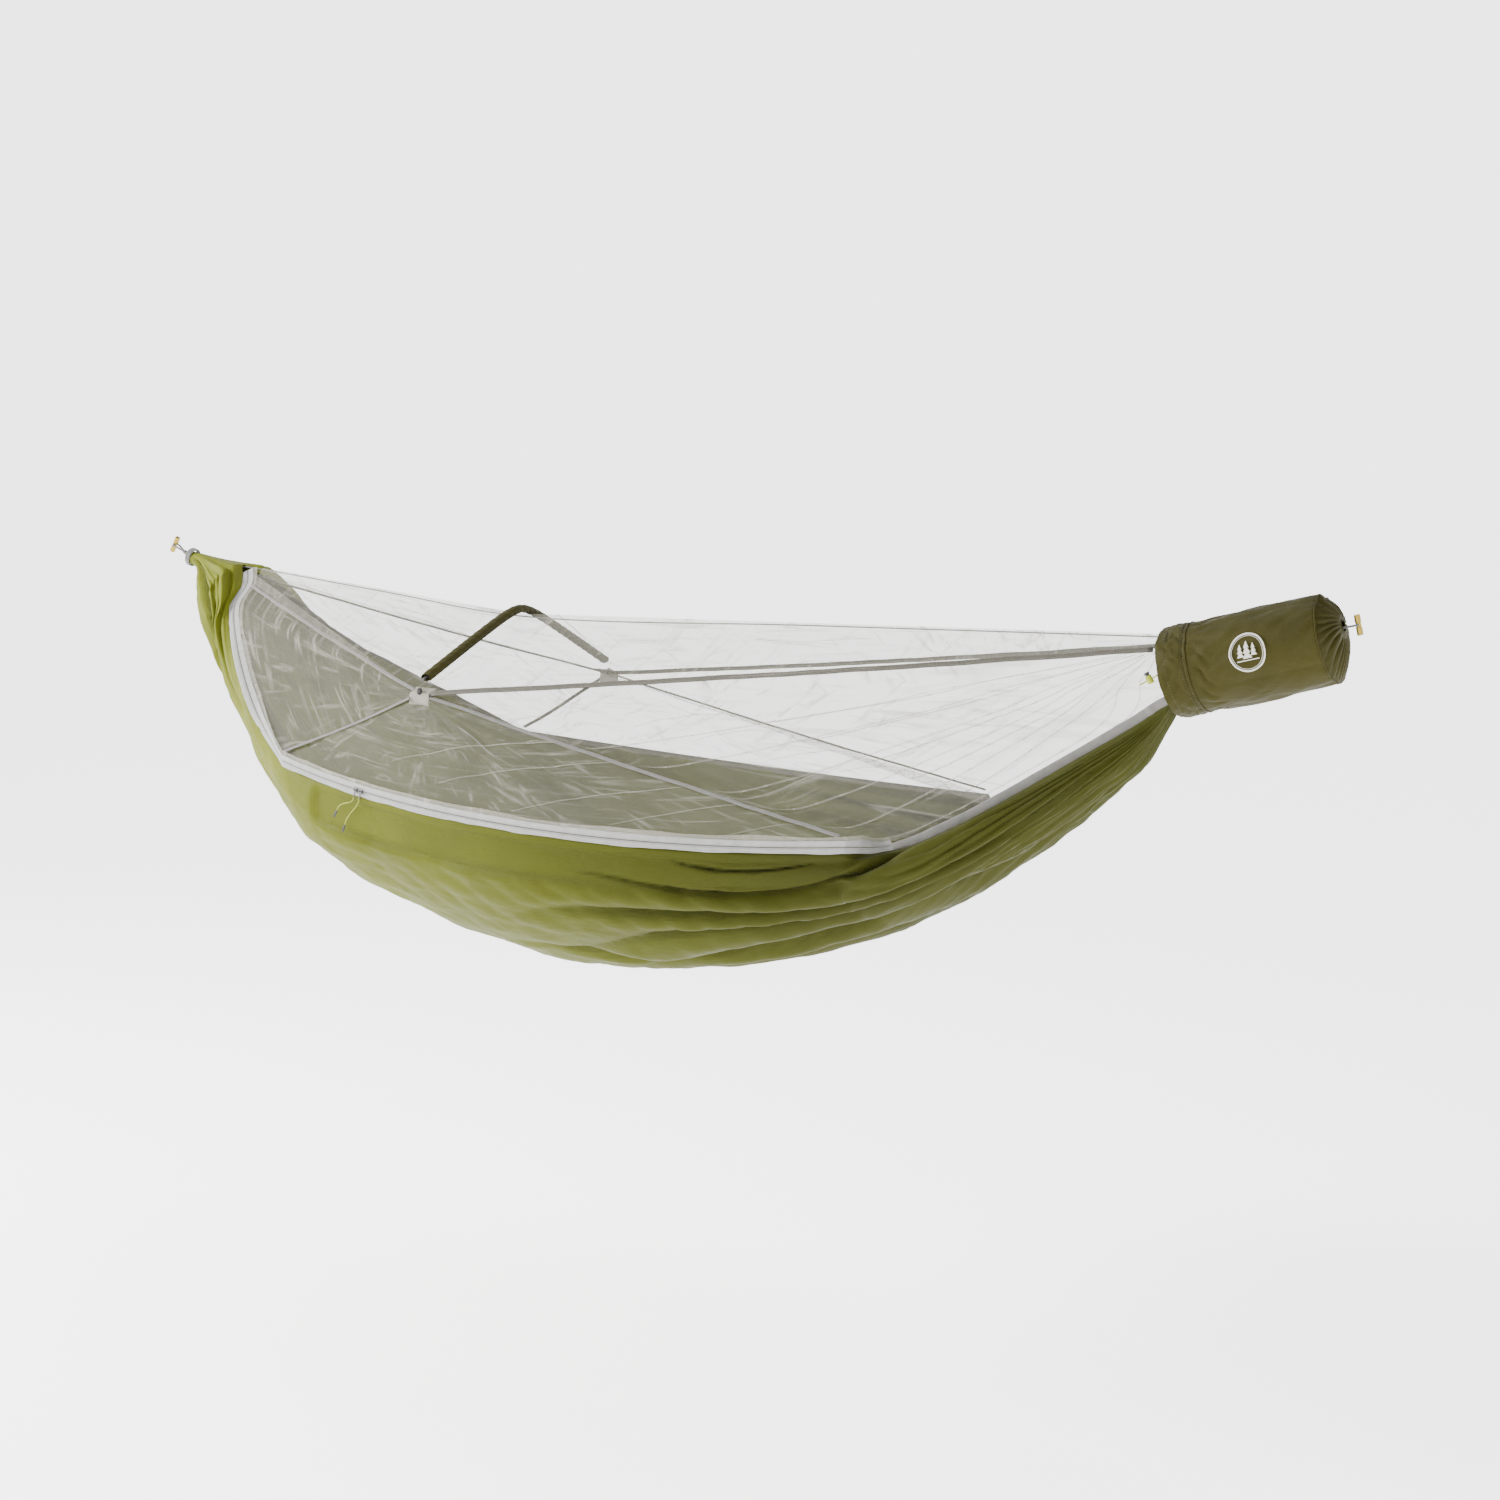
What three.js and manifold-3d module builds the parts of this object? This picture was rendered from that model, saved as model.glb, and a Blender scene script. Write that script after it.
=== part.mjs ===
// Gathered-end camping hammock with a zipped insect net, one spreader pole and a captive stuff sack.
// Millimetres. +X runs from the head gather to the foot gather, -Y is the zip side, +Z is up.
// The origin is the head gather, where the head end loop leaves the fabric.
import * as THREE from 'three';
import { mergeVertices } from 'three/addons/utils/BufferGeometryUtils.js';
import Module from 'manifold-3d';

const wasm = await Module();
wasm.setup();

// ---- Driving dimensions -------------------------------------------------------------------------

// The hanging cloth is slightly twisted: z rises by TWIST * y for each mm past TWIST_NEUTRAL_X.
const TWIST = 0.0485 / 1000;
const TWIST_NEUTRAL_X = 1027;

const FABRIC = 3;
const NET = 1.6;
const SIDES = { near: -1, far: 1 };

// Rim of the opening on the far (+Y) side, at zero twist: head stretch, arc stretch, foot stretch.
const RIM_HEAD = [[140, 0, -13], [182, 50, -50], [200, 110, -95], [268, 184, -167], [429, 322, -276], [572, 410, -363]];
const RIM_ARC_MIDDLE = [1150, 480, -411];
const RIM_FOOT = [[1737, 308, -404], [1790, 222, -408], [1870, 174, -368], [1951, 136, -317], [2060, 90, -243],
  [2161, 50, -174], [2210, 38, -138], [2300, 30, -95], [2400, 22, -55], [2462, 12, -32]];

// Pole: patch that takes each pole end, and the ridge height above it.
const PATCH = [841, 333, -216];
const APEX_Z = -74;
const POLE_BEND = 40;
const POLE_RADIUS = 3;
const POLE_LIFT = 10;

// Hanging body: x, lowest point, half width at its widest.
const BODY_DEPTH = [[-20, -14, 13], [20, -32, 24], [60, -90, 62], [100, -157, 106], [220, -290, 184], [400, -466, 306],
  [600, -597, 424], [900, -700, 476], [1200, -727, 484], [1500, -679, 421], [1750, -570, 316], [1950, -445, 215],
  [2100, -318, 120], [2160, -262, 80], [2205, -192, 46], [2226, -150, 40], [2240, -140, 38], [2300, -122, 36], [2400, -78, 30],
  [2470, -46, 18]];
const HEAD_SEAM = [[-20, 10], [20, 4], [60, -3], [100, -9]];

// Zip: half gap between the two chains, chain size, tape width.
const CHAIN_GAP = 0.7;
const CHAIN = 2.4;
const TAPE_TOP = 12;
const RIM_CLEARANCE = 15;
const DOOR_START = 0.08;
const DOOR_END = 0.92;
const DOOR_GAP = 0.008;
const DOOR_CORNER = 0.045;
const CORNER_CLEARANCE = 16;
const FLAP_GAP = 6;
const DOOR_PLANE_TILT = 18 * Math.PI / 180;
const SLIDER_HEAD_X = 793;
const SLIDER_FOOT_X = 807;

// Stuff sack: centre of its mouth, tilt of its axis, length to the end seam, radii.
const SACK_MOUTH = [2213.5, 0, -95];
const SACK_TILT = 15.5 * Math.PI / 180;
const SACK_LENGTH = 284;
const SACK_WALL = 1.5;
const COLLAR_LENGTH = 55;
const CORD_HOLE_RAISE = 18;
const CORD_HOLE_RADIUS = 9.5;

// Toggles and their end loops.
const TOGGLE_LENGTH = 36;
const TOGGLE_RADIUS = 5.5;
const END_CORD_RADIUS = 2;
const HEAD_TOGGLE = { centre: [-60, 0, 22], exit: [-22, 0, 1.4] };
const FOOT_TOGGLE = { centre: [2535, 0, 8.5], exit: [2476, 0, -6] };

// ---- Materials ----------------------------------------------------------------------------------

const material = (color, roughness, metalness = 0) => new THREE.MeshStandardMaterial({ color, roughness, metalness });
const OLIVE = [0x8b8f3c, 0.75];
const SACK_OLIVE = [0x6b682f, 0.75];
const NET_GREY = [0xb9b9b0, 0.9];
const TAPE_GREY = [0xa8a596, 0.8];
const ZIP_WHITE = [0xe2e0dc, 0.6];
const METAL_GREY = [0x5c5c5c, 0.35, 0.9];
const LIME = [0xc9d63a, 0.6];
const BLACK = [0x2a2a28, 0.5];
const GOLD = [0xa58a35, 0.35, 0.9];
const CORD_GREY = [0x8f8d88, 0.8];

// ---- Helpers ------------------------------------------------------------------------------------

const object = new THREE.Group();
const vec = (p) => new THREE.Vector3(...p);

function add(name, geometry, [color, roughness, metalness], parent = object) {
  const mesh = new THREE.Mesh(geometry, material(color, roughness, metalness));
  mesh.name = name;
  parent.add(mesh);
  return mesh;
}

// A point of the zero-twist shape, put on one side and twisted as the cloth hangs.
function hang([x, y, z], side = 1) {
  return new THREE.Vector3(x, side * y, z + TWIST * side * y * (x - TWIST_NEUTRAL_X));
}

// Straight-line lookup in a table of rows whose first value is x.
function lookup(table, x, column) {
  const above = Math.max(1, table.findIndex((row) => row[0] >= x));
  const [low, high] = [table[above - 1], table[above]];
  const share = THREE.MathUtils.clamp((x - low[0]) / (high[0] - low[0]), 0, 1);
  return THREE.MathUtils.lerp(low[column], high[column], share);
}

const steps = (count, from = 0, to = 1) => Array.from({ length: count + 1 }, (_, i) => from + (to - from) * i / count);

// A closed solid of even thickness on a grid of points. closed joins the last column to the first.
function sheet(rows, thickness, closed = false) {
  const m = rows.length;
  const n = rows[0].length;
  const layer = (sign) => rows.map((row, i) => row.map((point, j) => {
    const down = rows[Math.min(i + 1, m - 1)][j].clone().sub(rows[Math.max(i - 1, 0)][j]);
    const next = closed ? row[(j + 1) % n] : row[Math.min(j + 1, n - 1)];
    const last = closed ? row[(j + n - 1) % n] : row[Math.max(j - 1, 0)];
    const normal = down.cross(next.clone().sub(last)).normalize();
    return point.clone().addScaledVector(normal, sign * thickness / 2);
  }));
  const [top, bottom] = [layer(1), layer(-1)];
  const positions = [];
  const quad = (a, b, c, d) => [a, b, c, a, c, d].forEach((p) => positions.push(p.x, p.y, p.z));
  const columns = closed ? n : n - 1;
  for (let i = 0; i < m - 1; i += 1) {
    for (let j = 0; j < columns; j += 1) {
      const k = (j + 1) % n;
      quad(top[i][j], top[i + 1][j], top[i + 1][k], top[i][k]);
      quad(bottom[i][j], bottom[i][k], bottom[i + 1][k], bottom[i + 1][j]);
    }
  }
  for (let j = 0; j < columns; j += 1) {
    const k = (j + 1) % n;
    quad(top[0][j], top[0][k], bottom[0][k], bottom[0][j]);
    quad(top[m - 1][k], top[m - 1][j], bottom[m - 1][j], bottom[m - 1][k]);
  }
  for (let i = 0; i < m - 1 && !closed; i += 1) {
    quad(top[i + 1][0], top[i][0], bottom[i][0], bottom[i + 1][0]);
    quad(top[i][n - 1], top[i + 1][n - 1], bottom[i + 1][n - 1], bottom[i][n - 1]);
  }
  const geometry = new THREE.BufferGeometry();
  geometry.setAttribute('position', new THREE.Float32BufferAttribute(positions, 3));
  return geometry;
}

function ellipse(width, height, sides) {
  const points = steps(sides - 1, 0, 2 * Math.PI * (sides - 1) / sides);
  return points.map((a) => new THREE.Vector2(width / 2 * Math.cos(a), height / 2 * Math.sin(a)));
}

// A tube of a given section along a smooth curve through points.
function tube(points, width, { height = width, bore = null, sides = 8, count = points.length * 2 } = {}) {
  const shape = new THREE.Shape(ellipse(width, height, sides));
  if (bore) shape.holes.push(new THREE.Path(ellipse(bore[0], bore[1], sides).reverse()));
  const path = new THREE.CatmullRomCurve3(points, false, 'centripetal');
  return new THREE.ExtrudeGeometry(shape, { steps: count, extrudePath: path, curveSegments: 1 });
}

function lathe(profile, segments = 24) {
  return new THREE.LatheGeometry(profile.map(([r, a]) => new THREE.Vector2(r, a)), segments);
}

function toManifold(geometry) {
  const bare = geometry.index ? geometry.toNonIndexed() : geometry.clone();
  bare.deleteAttribute('normal');
  bare.deleteAttribute('uv');
  const merged = mergeVertices(bare, 1e-4);
  return new wasm.Manifold(new wasm.Mesh({
    numProp: 3,
    vertProperties: new Float32Array(merged.attributes.position.array),
    triVerts: new Uint32Array(merged.index.array),
  }));
}

function fromManifold(solid) {
  const mesh = solid.getMesh();
  const geometry = new THREE.BufferGeometry();
  geometry.setAttribute('position', new THREE.Float32BufferAttribute(mesh.vertProperties, 3));
  geometry.setIndex(new THREE.BufferAttribute(mesh.triVerts, 1));
  return geometry;
}

function cut(geometry, ...tools) {
  return fromManifold(tools.reduce((solid, tool) => solid.subtract(toManifold(tool)), toManifold(geometry)));
}

function join(...pieces) {
  return fromManifold(pieces.slice(1).reduce((solid, piece) => solid.add(toManifold(piece)), toManifold(pieces[0])));
}

// A box given by its low and high corners.
function block([x0, y0, z0], [x1, y1, z1]) {
  return new THREE.BoxGeometry(x1 - x0, y1 - y0, z1 - z0).translate((x0 + x1) / 2, (y0 + y1) / 2, (z0 + z1) / 2);
}

// A straight strap from a to b, lifted off the cloth along up, width across and NET thick.
function strap(a, b, up, width, lift) {
  const along = b.clone().sub(a).normalize();
  const across = along.clone().cross(up).normalize();
  const over = across.clone().cross(along).multiplyScalar(lift);
  return sheet([a, b].map((p) => [-1, 1].map((s) => p.clone().addScaledVector(across, s * width / 2).add(over))), 1.2);
}

// ---- Rim and zip path ---------------------------------------------------------------------------

// The circle through three points: centre, unit normal and a point for each share of the arc.
function circleThrough(a, m, b) {
  const ab = b.clone().sub(a);
  const am = m.clone().sub(a);
  const normal = ab.clone().cross(am).normalize();
  const squares = am.clone().multiplyScalar(ab.lengthSq()).sub(ab.clone().multiplyScalar(am.lengthSq()));
  const offset = squares.cross(ab.clone().cross(am)).divideScalar(2 * ab.clone().cross(am).lengthSq());
  const centre = a.clone().add(offset);
  const start = a.clone().sub(centre);
  const sweep = start.angleTo(b.clone().sub(centre));
  const turn = start.clone().cross(b.clone().sub(centre)).dot(normal) > 0 ? 1 : -1;
  const at = (share) => start.clone().applyAxisAngle(normal, turn * sweep * share).add(centre);
  const up = normal.z > 0 ? normal : normal.clone().negate();
  return { centre, up, sweep, at, radius: start.length() };
}

function makeRim(side) {
  const head = new THREE.CatmullRomCurve3(RIM_HEAD.map((p) => hang(p, side)), false, 'centripetal');
  const foot = new THREE.CatmullRomCurve3(RIM_FOOT.map((p) => hang(p, side)), false, 'centripetal');
  const arc = circleThrough(hang(RIM_HEAD.at(-1), side), hang(RIM_ARC_MIDDLE, side), hang(RIM_FOOT[0], side));
  const patch = hang(PATCH, side);
  const at = (u) => {
    if (u <= 1) return head.getPoint(u);
    return u <= 2 ? arc.at(u - 1) : foot.getPoint(u - 2);
  };
  // Direction across the zip, from the body's edge to the net's edge.
  const up = (u) => {
    const tangent = at(Math.min(u + 0.01, 3)).sub(at(Math.max(u - 0.01, 0))).normalize();
    const toPatch = patch.clone().sub(at(u)).normalize();
    const share = u <= 1 ? THREE.MathUtils.smoothstep(u, 0.75, 1) : 1 - THREE.MathUtils.smoothstep(u, 2, 2.12);
    const mixed = toPatch.lerp(arc.up, share);
    return mixed.addScaledVector(tangent, -mixed.dot(tangent)).normalize();
  };
  return { at, up, arc, patch, raised: (u, height) => at(u).addScaledVector(up(u), height) };
}

const rims = { near: makeRim(-1), far: makeRim(1) };
// Body and net stop short of the rim line by these amounts: the zip is on the near side only.
const EDGE = { near: RIM_CLEARANCE, far: 9 };

const HEAD_STEPS = steps(9);
const ARC_STEPS = steps(10, 1, 2);
const FOOT_STEPS = [0, 0.5, 1, 1.5, 2, 2.5, 3, 4, 5, 6, 6.2, 6.4, 7, 8, 9].map((k) => 2 + k / 9);
const RIM_STEPS = [...HEAD_STEPS, ...ARC_STEPS.slice(1), ...FOOT_STEPS.slice(1)];
const MOUTH_U = 2 + 6.3 / 9;
const ZIP_END_U = 2 + 1 / 9;

// ---- Hammock body -------------------------------------------------------------------------------

// Half of a hanging cross-section, from the bottom to one edge.
function halfSection(edge, side, middleX, count) {
  const bottom = lookup(BODY_DEPTH, middleX, 1);
  const half = Math.max(lookup(BODY_DEPTH, middleX, 2), Math.abs(edge.y) + 3);
  const last = Math.PI - Math.asin(Math.min(1, Math.abs(edge.y) / half));
  const rise = (edge.z - bottom) / (1 - Math.cos(last));
  return steps(count).map((share) => {
    const angle = share * last;
    const x = THREE.MathUtils.lerp(middleX, edge.x, share);
    return new THREE.Vector3(x, side * half * Math.sin(angle), bottom + rise * (1 - Math.cos(angle)));
  });
}

function bodyRow(near, far) {
  const middleX = (near.x + far.x) / 2;
  const left = halfSection(near, -1, middleX, 7).reverse();
  return [...left, ...halfSection(far, 1, middleX, 7).slice(1)];
}

function addBody() {
  const seamHalfGap = 2.6;
  const rows = HEAD_SEAM.map(([x, z]) => bodyRow(...[-1, 1].map((s) => new THREE.Vector3(x, s * seamHalfGap, z))));
  for (const u of RIM_STEPS) {
    const near = rims.near.raised(u, -EDGE.near);
    const far = rims.far.raised(u, -EDGE.far);
    near.y = Math.min(near.y, -seamHalfGap);
    far.y = Math.max(far.y, seamHalfGap);
    rows.push(bodyRow(near, far));
  }
  add('hammock_body', sheet(rows, FABRIC), OLIVE);
  for (const [name, centre, radius, direction] of [
    ['head_gather_binding', [-12, 0, -2], 21.5, [0.95, 0, -0.3]],
    ['foot_gather_binding', [2452, 0, -36], 31, [0.93, 0, 0.35]],
  ]) {
    const ring = new THREE.TorusGeometry(radius, 2.2, 6, 20);
    const mesh = add(name, ring, SACK_OLIVE);
    mesh.quaternion.setFromUnitVectors(new THREE.Vector3(0, 0, 1), vec(direction).normalize());
    mesh.position.set(...centre);
  }
}

// A band that follows the rim between two heights across it.
function rimBand(rim, us, low, high, thickness) {
  return sheet(us.map((u) => [rim.raised(u, low), rim.raised(u, high)]), thickness);
}

function addRimBindings() {
  const mouth = steps(26, 0.12, MOUTH_U);
  add('far_rim_binding', rimBand(rims.far, mouth, -5, 5, 1.6), TAPE_GREY);
  const foot = steps(10, ZIP_END_U + 0.03, MOUTH_U);
  add('near_rim_binding', rimBand(rims.near, foot, -12, 12, 1.6), TAPE_GREY);
}

// ---- Insect net ---------------------------------------------------------------------------------

const NET_START = 36;
const TAPE_MOUTH = [2185, 30, -55];
const RIDGE_MOUTH = [2190, 0, -29];

// Height of a point over the plane that parts the opening flap from the fixed net.
const near = rims.near;
const hingeStart = near.raised(1 + DOOR_START, TAPE_TOP);
const hingeLine = near.raised(1 + DOOR_END, TAPE_TOP).sub(hingeStart).normalize();
const hingeOut = near.raised(1.5, TAPE_TOP).sub(hingeStart);
hingeOut.addScaledVector(hingeLine, -hingeOut.dot(hingeLine)).normalize();
const flapNormal = near.arc.up.clone().multiplyScalar(Math.cos(DOOR_PLANE_TILT))
  .addScaledVector(hingeOut, -Math.sin(DOOR_PLANE_TILT));
const overFlapPlane = (p) => p.clone().sub(hingeStart).dot(flapNormal);

const isBetween = (u, margin) => u > 1 + DOOR_START + margin && u < 1 + DOOR_END - margin;
const hasFlap = (u) => isBetween(u, DOOR_CORNER);

// Share of the way from the patch to the rim at which the near net ends: at the flap's top edge, a
// little short of the zip at the flap's corners, where the tape turns, and at the rim elsewhere.
function nearNetEnd(u) {
  const rim = near.raised(u, RIM_CLEARANCE);
  if (!isBetween(u, -DOOR_GAP)) return 1;
  if (!hasFlap(u)) return 1 - CORNER_CLEARANCE / near.patch.distanceTo(rim);
  const [start, end] = [overFlapPlane(near.patch), overFlapPlane(rim)];
  return start / (start - end);
}

function netRow(rim, target, from, to) {
  return [from, (from + to) / 2, to].map((share) => rim.patch.clone().lerp(target, share));
}

function sideNet(sideName) {
  const rim = rims[sideName];
  const clear = EDGE[sideName];
  const rows = [];
  for (const u of [...HEAD_STEPS.slice(1), ...steps(20, 1, 2).slice(1), ...FOOT_STEPS.slice(1)]) {
    if (u < 0.3 || u > MOUTH_U) continue;
    const target = rim.raised(u, clear);
    const end = sideName === 'near' ? nearNetEnd(u) : 1;
    rows.push(netRow(rim, target, NET_START / rim.patch.distanceTo(target), end));
  }
  const side = SIDES[sideName];
  const tapeEnd = hang(TAPE_MOUTH, side);
  const rimEnd = rim.raised(MOUTH_U, clear);
  for (const share of [0.35, 0.7, 0.97]) {
    const target = rimEnd.clone().lerp(tapeEnd, share);
    rows.push(netRow(rim, target, NET_START / rim.patch.distanceTo(target), 1));
  }
  const geometry = sheet(rows, NET);
  add(`${sideName}_side_net`, geometry, NET_GREY);
}

function addFlap() {
  const rows = [];
  for (const u of steps(20, 1, 2).filter(hasFlap)) {
    const target = near.raised(u, RIM_CLEARANCE - 2);
    const first = nearNetEnd(u) + FLAP_GAP / near.patch.distanceTo(target);
    rows.push([near.patch.clone().lerp(target, first), near.patch.clone().lerp(target, 1)]);
  }
  add('net_flap', sheet(rows, NET), NET_GREY);
}

function ridgeAt(x) {
  const [a, b] = x < PATCH[0] ? [[0, 0, 0], [PATCH[0], 0, APEX_Z]] : [[PATCH[0], 0, APEX_Z], RIDGE_MOUTH];
  return vec(a).lerp(vec(b), (x - a[0]) / (b[0] - a[0]));
}

function tapeAt(x, side) {
  const [a, b] = x < PATCH[0] ? [RIM_HEAD[1], PATCH] : [PATCH, TAPE_MOUTH];
  return hang(a, side).lerp(hang(b, side), (x - a[0]) / (b[0] - a[0]));
}

function addTopNet() {
  const first = ridgeAt(178);
  const narrow = [-1, 1].map((side) => first.clone().add(new THREE.Vector3(0, side * 20, -9)));
  const rows = [[narrow[0], first, narrow[1]]];
  for (const x of [206, 320, 500, 680, 800, 841, 890, 1100, 1400, 1700, 2000, 2180]) {
    const ridge = ridgeAt(x);
    rows.push([tapeAt(x, -1).lerp(ridge, 0.05), ridge, tapeAt(x, 1).lerp(ridge, 0.05)]);
  }
  add('top_net', sheet(rows, NET), NET_GREY);
  const line = [vec([6, 0, -8]), ridgeAt(130), ridgeAt(500), ridgeAt(841), ridgeAt(1500), ridgeAt(2190), vec([2440, 0, -22])];
  line.forEach((p) => { p.z -= 5; });
  add('ridgeline', tube(line, 2.6, { count: 14 }), CORD_GREY);
}

function addTapes() {
  for (const [name, side] of Object.entries(SIDES)) {
    const rim = rims[name];
    const outward = new THREE.Vector3(0, side * 0.6, 0.8);
    const from = (target, margin) => rim.patch.clone().lerp(target, 34 / rim.patch.distanceTo(target)).lerp(target, margin);
    const tape = (role, target, width, end = 1) => {
      const start = from(target, 0);
      add(`${name}_${role}_tape`, strap(start, start.clone().lerp(target, end), outward, width, 3.4), TAPE_GREY);
    };
    tape('head', hang(RIM_HEAD[1], side), 8, 0.94);
    tape('lower_head', rim.raised(1, EDGE[name]), 8, 0.965);
    tape('lower_foot', rim.raised(2, EDGE[name]), 8, 0.98);
    tape('foot', hang(TAPE_MOUTH, side), 14);
  }
}

// ---- Zip ----------------------------------------------------------------------------------------

function addZip() {
  const chainOuter = CHAIN_GAP + CHAIN;
  const headSteps = steps(12, 0.06, 1);
  const whole = [...headSteps, ...steps(26, 1, 2).slice(1), ZIP_END_U];
  const head = [...headSteps, ...steps(2, 1, 1 + DOOR_START - DOOR_GAP).slice(1)];
  const flap = steps(22, 1 + DOOR_START, 1 + DOOR_END);
  const foot = [...steps(2, 1 + DOOR_END + DOOR_GAP, 2), ZIP_END_U];
  add('zip_lower_tape', rimBand(near, whole, -TAPE_TOP, -chainOuter - 0.4, 1), ZIP_WHITE);
  add('zip_lower_chain', rimBand(near, whole, -chainOuter, -CHAIN_GAP, CHAIN), ZIP_WHITE);
  for (const [name, us] of Object.entries({ head, flap, foot })) {
    add(`zip_upper_tape_${name}`, rimBand(near, us, chainOuter + 0.4, TAPE_TOP, 1), ZIP_WHITE);
    add(`zip_upper_chain_${name}`, rimBand(near, us, CHAIN_GAP, chainOuter, CHAIN), ZIP_WHITE);
  }
  addZipStop();
  addSlider('head', SLIDER_HEAD_X, 1);
  addSlider('foot', SLIDER_FOOT_X, -1);
}

// Group at a point of the rim: local x along the zip, y into the hammock, z across the zip.
function zipGroup(u) {
  const along = near.at(u + 0.002).sub(near.at(u - 0.002)).normalize();
  const across = near.up(u);
  const inward = across.clone().cross(along).normalize();
  const group = new THREE.Group();
  group.matrixAutoUpdate = false;
  group.matrix.makeBasis(along, inward, across).setPosition(near.at(u));
  object.add(group);
  return group;
}

function addZipStop() {
  const group = zipGroup(ZIP_END_U + 0.006);
  add('zip_end_stop', block([2.5, -2, -5], [6, 2, 5]), METAL_GREY, group);
}

// The share of the arc at which the zip reaches x.
function arcShare(x) {
  const shares = steps(2000);
  return shares.find((share) => near.arc.at(share).x >= x);
}

// How far each pull tab leans out from the zip, and the route of its cord in the zip's own frame.
const TAB_TILT = 14 * Math.PI / 180;
const PULL_CORDS = {
  head: [[-0.4, -8.6, -16.3], [-3, -10.2, -20], [-9, -12, -24], [-18, -14, -27], [-27, -16, -31], [-34, -18, -37],
    [-38, -20, -45]],
  foot: [[-0.3, -8.8, -16.4], [-1, -12, -22], [-4, -16, -29], [-9, -20, -36], [-14, -24, -44], [-18, -28, -53],
    [-20, -31, -62]],
};

// A slider clasps both chains; nose is +1 when its divider points at the foot end.
function addSlider(name, x, nose) {
  const group = zipGroup(1 + arcShare(x));
  const plates = join(
    block([-5, 1.7, -4.6], [5, 2.7, 4.6]),
    block([-5, -2.7, -4.6], [5, -1.7, 4.6]),
    block([Math.min(nose * 1, nose * 4), -2, -0.35], [Math.max(nose * 1, nose * 4), 2, 0.35]),
    block([-3.2, -5.4, -1.2], [-2.2, -2.6, 1.4]),
    block([2.2, -5.4, -1.2], [3.2, -2.6, 1.4]),
  );
  add(`slider_${name}`, plates, METAL_GREY, group);
  const tab = new THREE.Group();
  tab.position.set(0, -4.4, 0);
  tab.rotation.x = -TAB_TILT;
  group.add(tab);
  const plate = cut(block([-1.8, -0.45, -15], [1.8, 0.45, 0]), block([-0.9, -1, -14], [0.9, 1, -10.5]));
  add(`pull_tab_${name}`, plate, METAL_GREY, tab);
  addPullCord(name, PULL_CORDS[name], group);
}

// Cord tied to a pull tab, with a moulded tip at its end, hanging beside the cloth in the zip's frame.
function addPullCord(name, route, group) {
  const points = route.map(vec);
  add(`pull_cord_${name}`, tube(points, 2, { sides: 8, count: 12 }), LIME, group);
  const [last, end] = points.slice(-2);
  const along = end.clone().sub(last).normalize();
  const tip = lathe([[0, 0], [1.9, 0], [2.1, 3], [1.6, 15], [0, 15.5]], 10);
  const mesh = add(`pull_tip_${name}`, tip, BLACK, group);
  mesh.quaternion.setFromUnitVectors(new THREE.Vector3(0, 1, 0), along);
  mesh.position.copy(end).addScaledVector(along, 0.3);
}

// ---- Spreader pole ------------------------------------------------------------------------------

// The pole's centre line over the net: two straight legs with a round bend at the ridge.
function poleAt(y) {
  const slope = (APEX_Z - PATCH[2]) / PATCH[1];
  const z = APEX_Z + POLE_LIFT - slope * (Math.hypot(y, POLE_BEND) - POLE_BEND);
  return hang([PATCH[0], Math.abs(y), z], Math.sign(y) || 1);
}

function addPole() {
  const reach = [1, 12, 25, 40, 60, 100, 180, 327];
  const rod = (side) => reach.map((y) => poleAt(side * y));
  add('pole_near', tube(rod(-1), 2 * POLE_RADIUS, { count: 18 }), CORD_GREY);
  add('pole_far', tube(rod(1), 2 * POLE_RADIUS, { count: 18 }), CORD_GREY);
  const ferrule = steps(8, -32, 32).map(poleAt);
  add('pole_ferrule', tube(ferrule, 9.4, { bore: [8, 8], count: 8 }), METAL_GREY);
  const sleeve = [-296, -180, -100, -60, -40, -20, 0, 20, 40, 60, 100, 180, 296].map(poleAt);
  add('pole_sleeve', tube(sleeve, 20, { height: 14, bore: [17.6, 11.6], count: 24 }), OLIVE);
}

// Each patch is a doubled cloth square on the net, with a grommet that takes the pole's tip.
function addPatch(sideName) {
  const side = SIDES[sideName];
  const rim = rims[sideName];
  const uphill = poleAt(side * 100).sub(poleAt(side * 300)).normalize();
  const normal = new THREE.Vector3(1, 0, 0).cross(uphill).normalize();
  if (normal.z < 0) normal.negate();
  const group = new THREE.Group();
  group.matrixAutoUpdate = false;
  const across = uphill.clone().cross(normal);
  group.matrix.makeBasis(across, uphill, normal).setPosition(rim.patch.clone().addScaledVector(normal, 3.2));
  object.add(group);
  const hole = new THREE.CylinderGeometry(4.2, 4.2, 10, 16).rotateX(Math.PI / 2);
  add(`${sideName}_patch`, cut(block([-24, -22, -0.9], [24, 22, 0.9]), hole), TAPE_GREY, group);
  const grommet = lathe([[2.9, -1.6], [3.9, -1.6], [3.9, 1.2], [6, 1.2], [6, 2], [2.9, 2], [2.9, -1.6]], 16);
  add(`${sideName}_grommet`, grommet.rotateX(Math.PI / 2), BLACK, group);
  const tip = lathe([[0, -3], [2, -3], [2.5, -1], [2.5, 2.4], [5, 2.8], [5, 9], [4, 10.4], [0, 10.4]], 12);
  add(`pole_tip_${sideName}`, tip.rotateX(Math.PI / 2), BLACK, group);
}

// ---- End loops and toggles ----------------------------------------------------------------------

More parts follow.
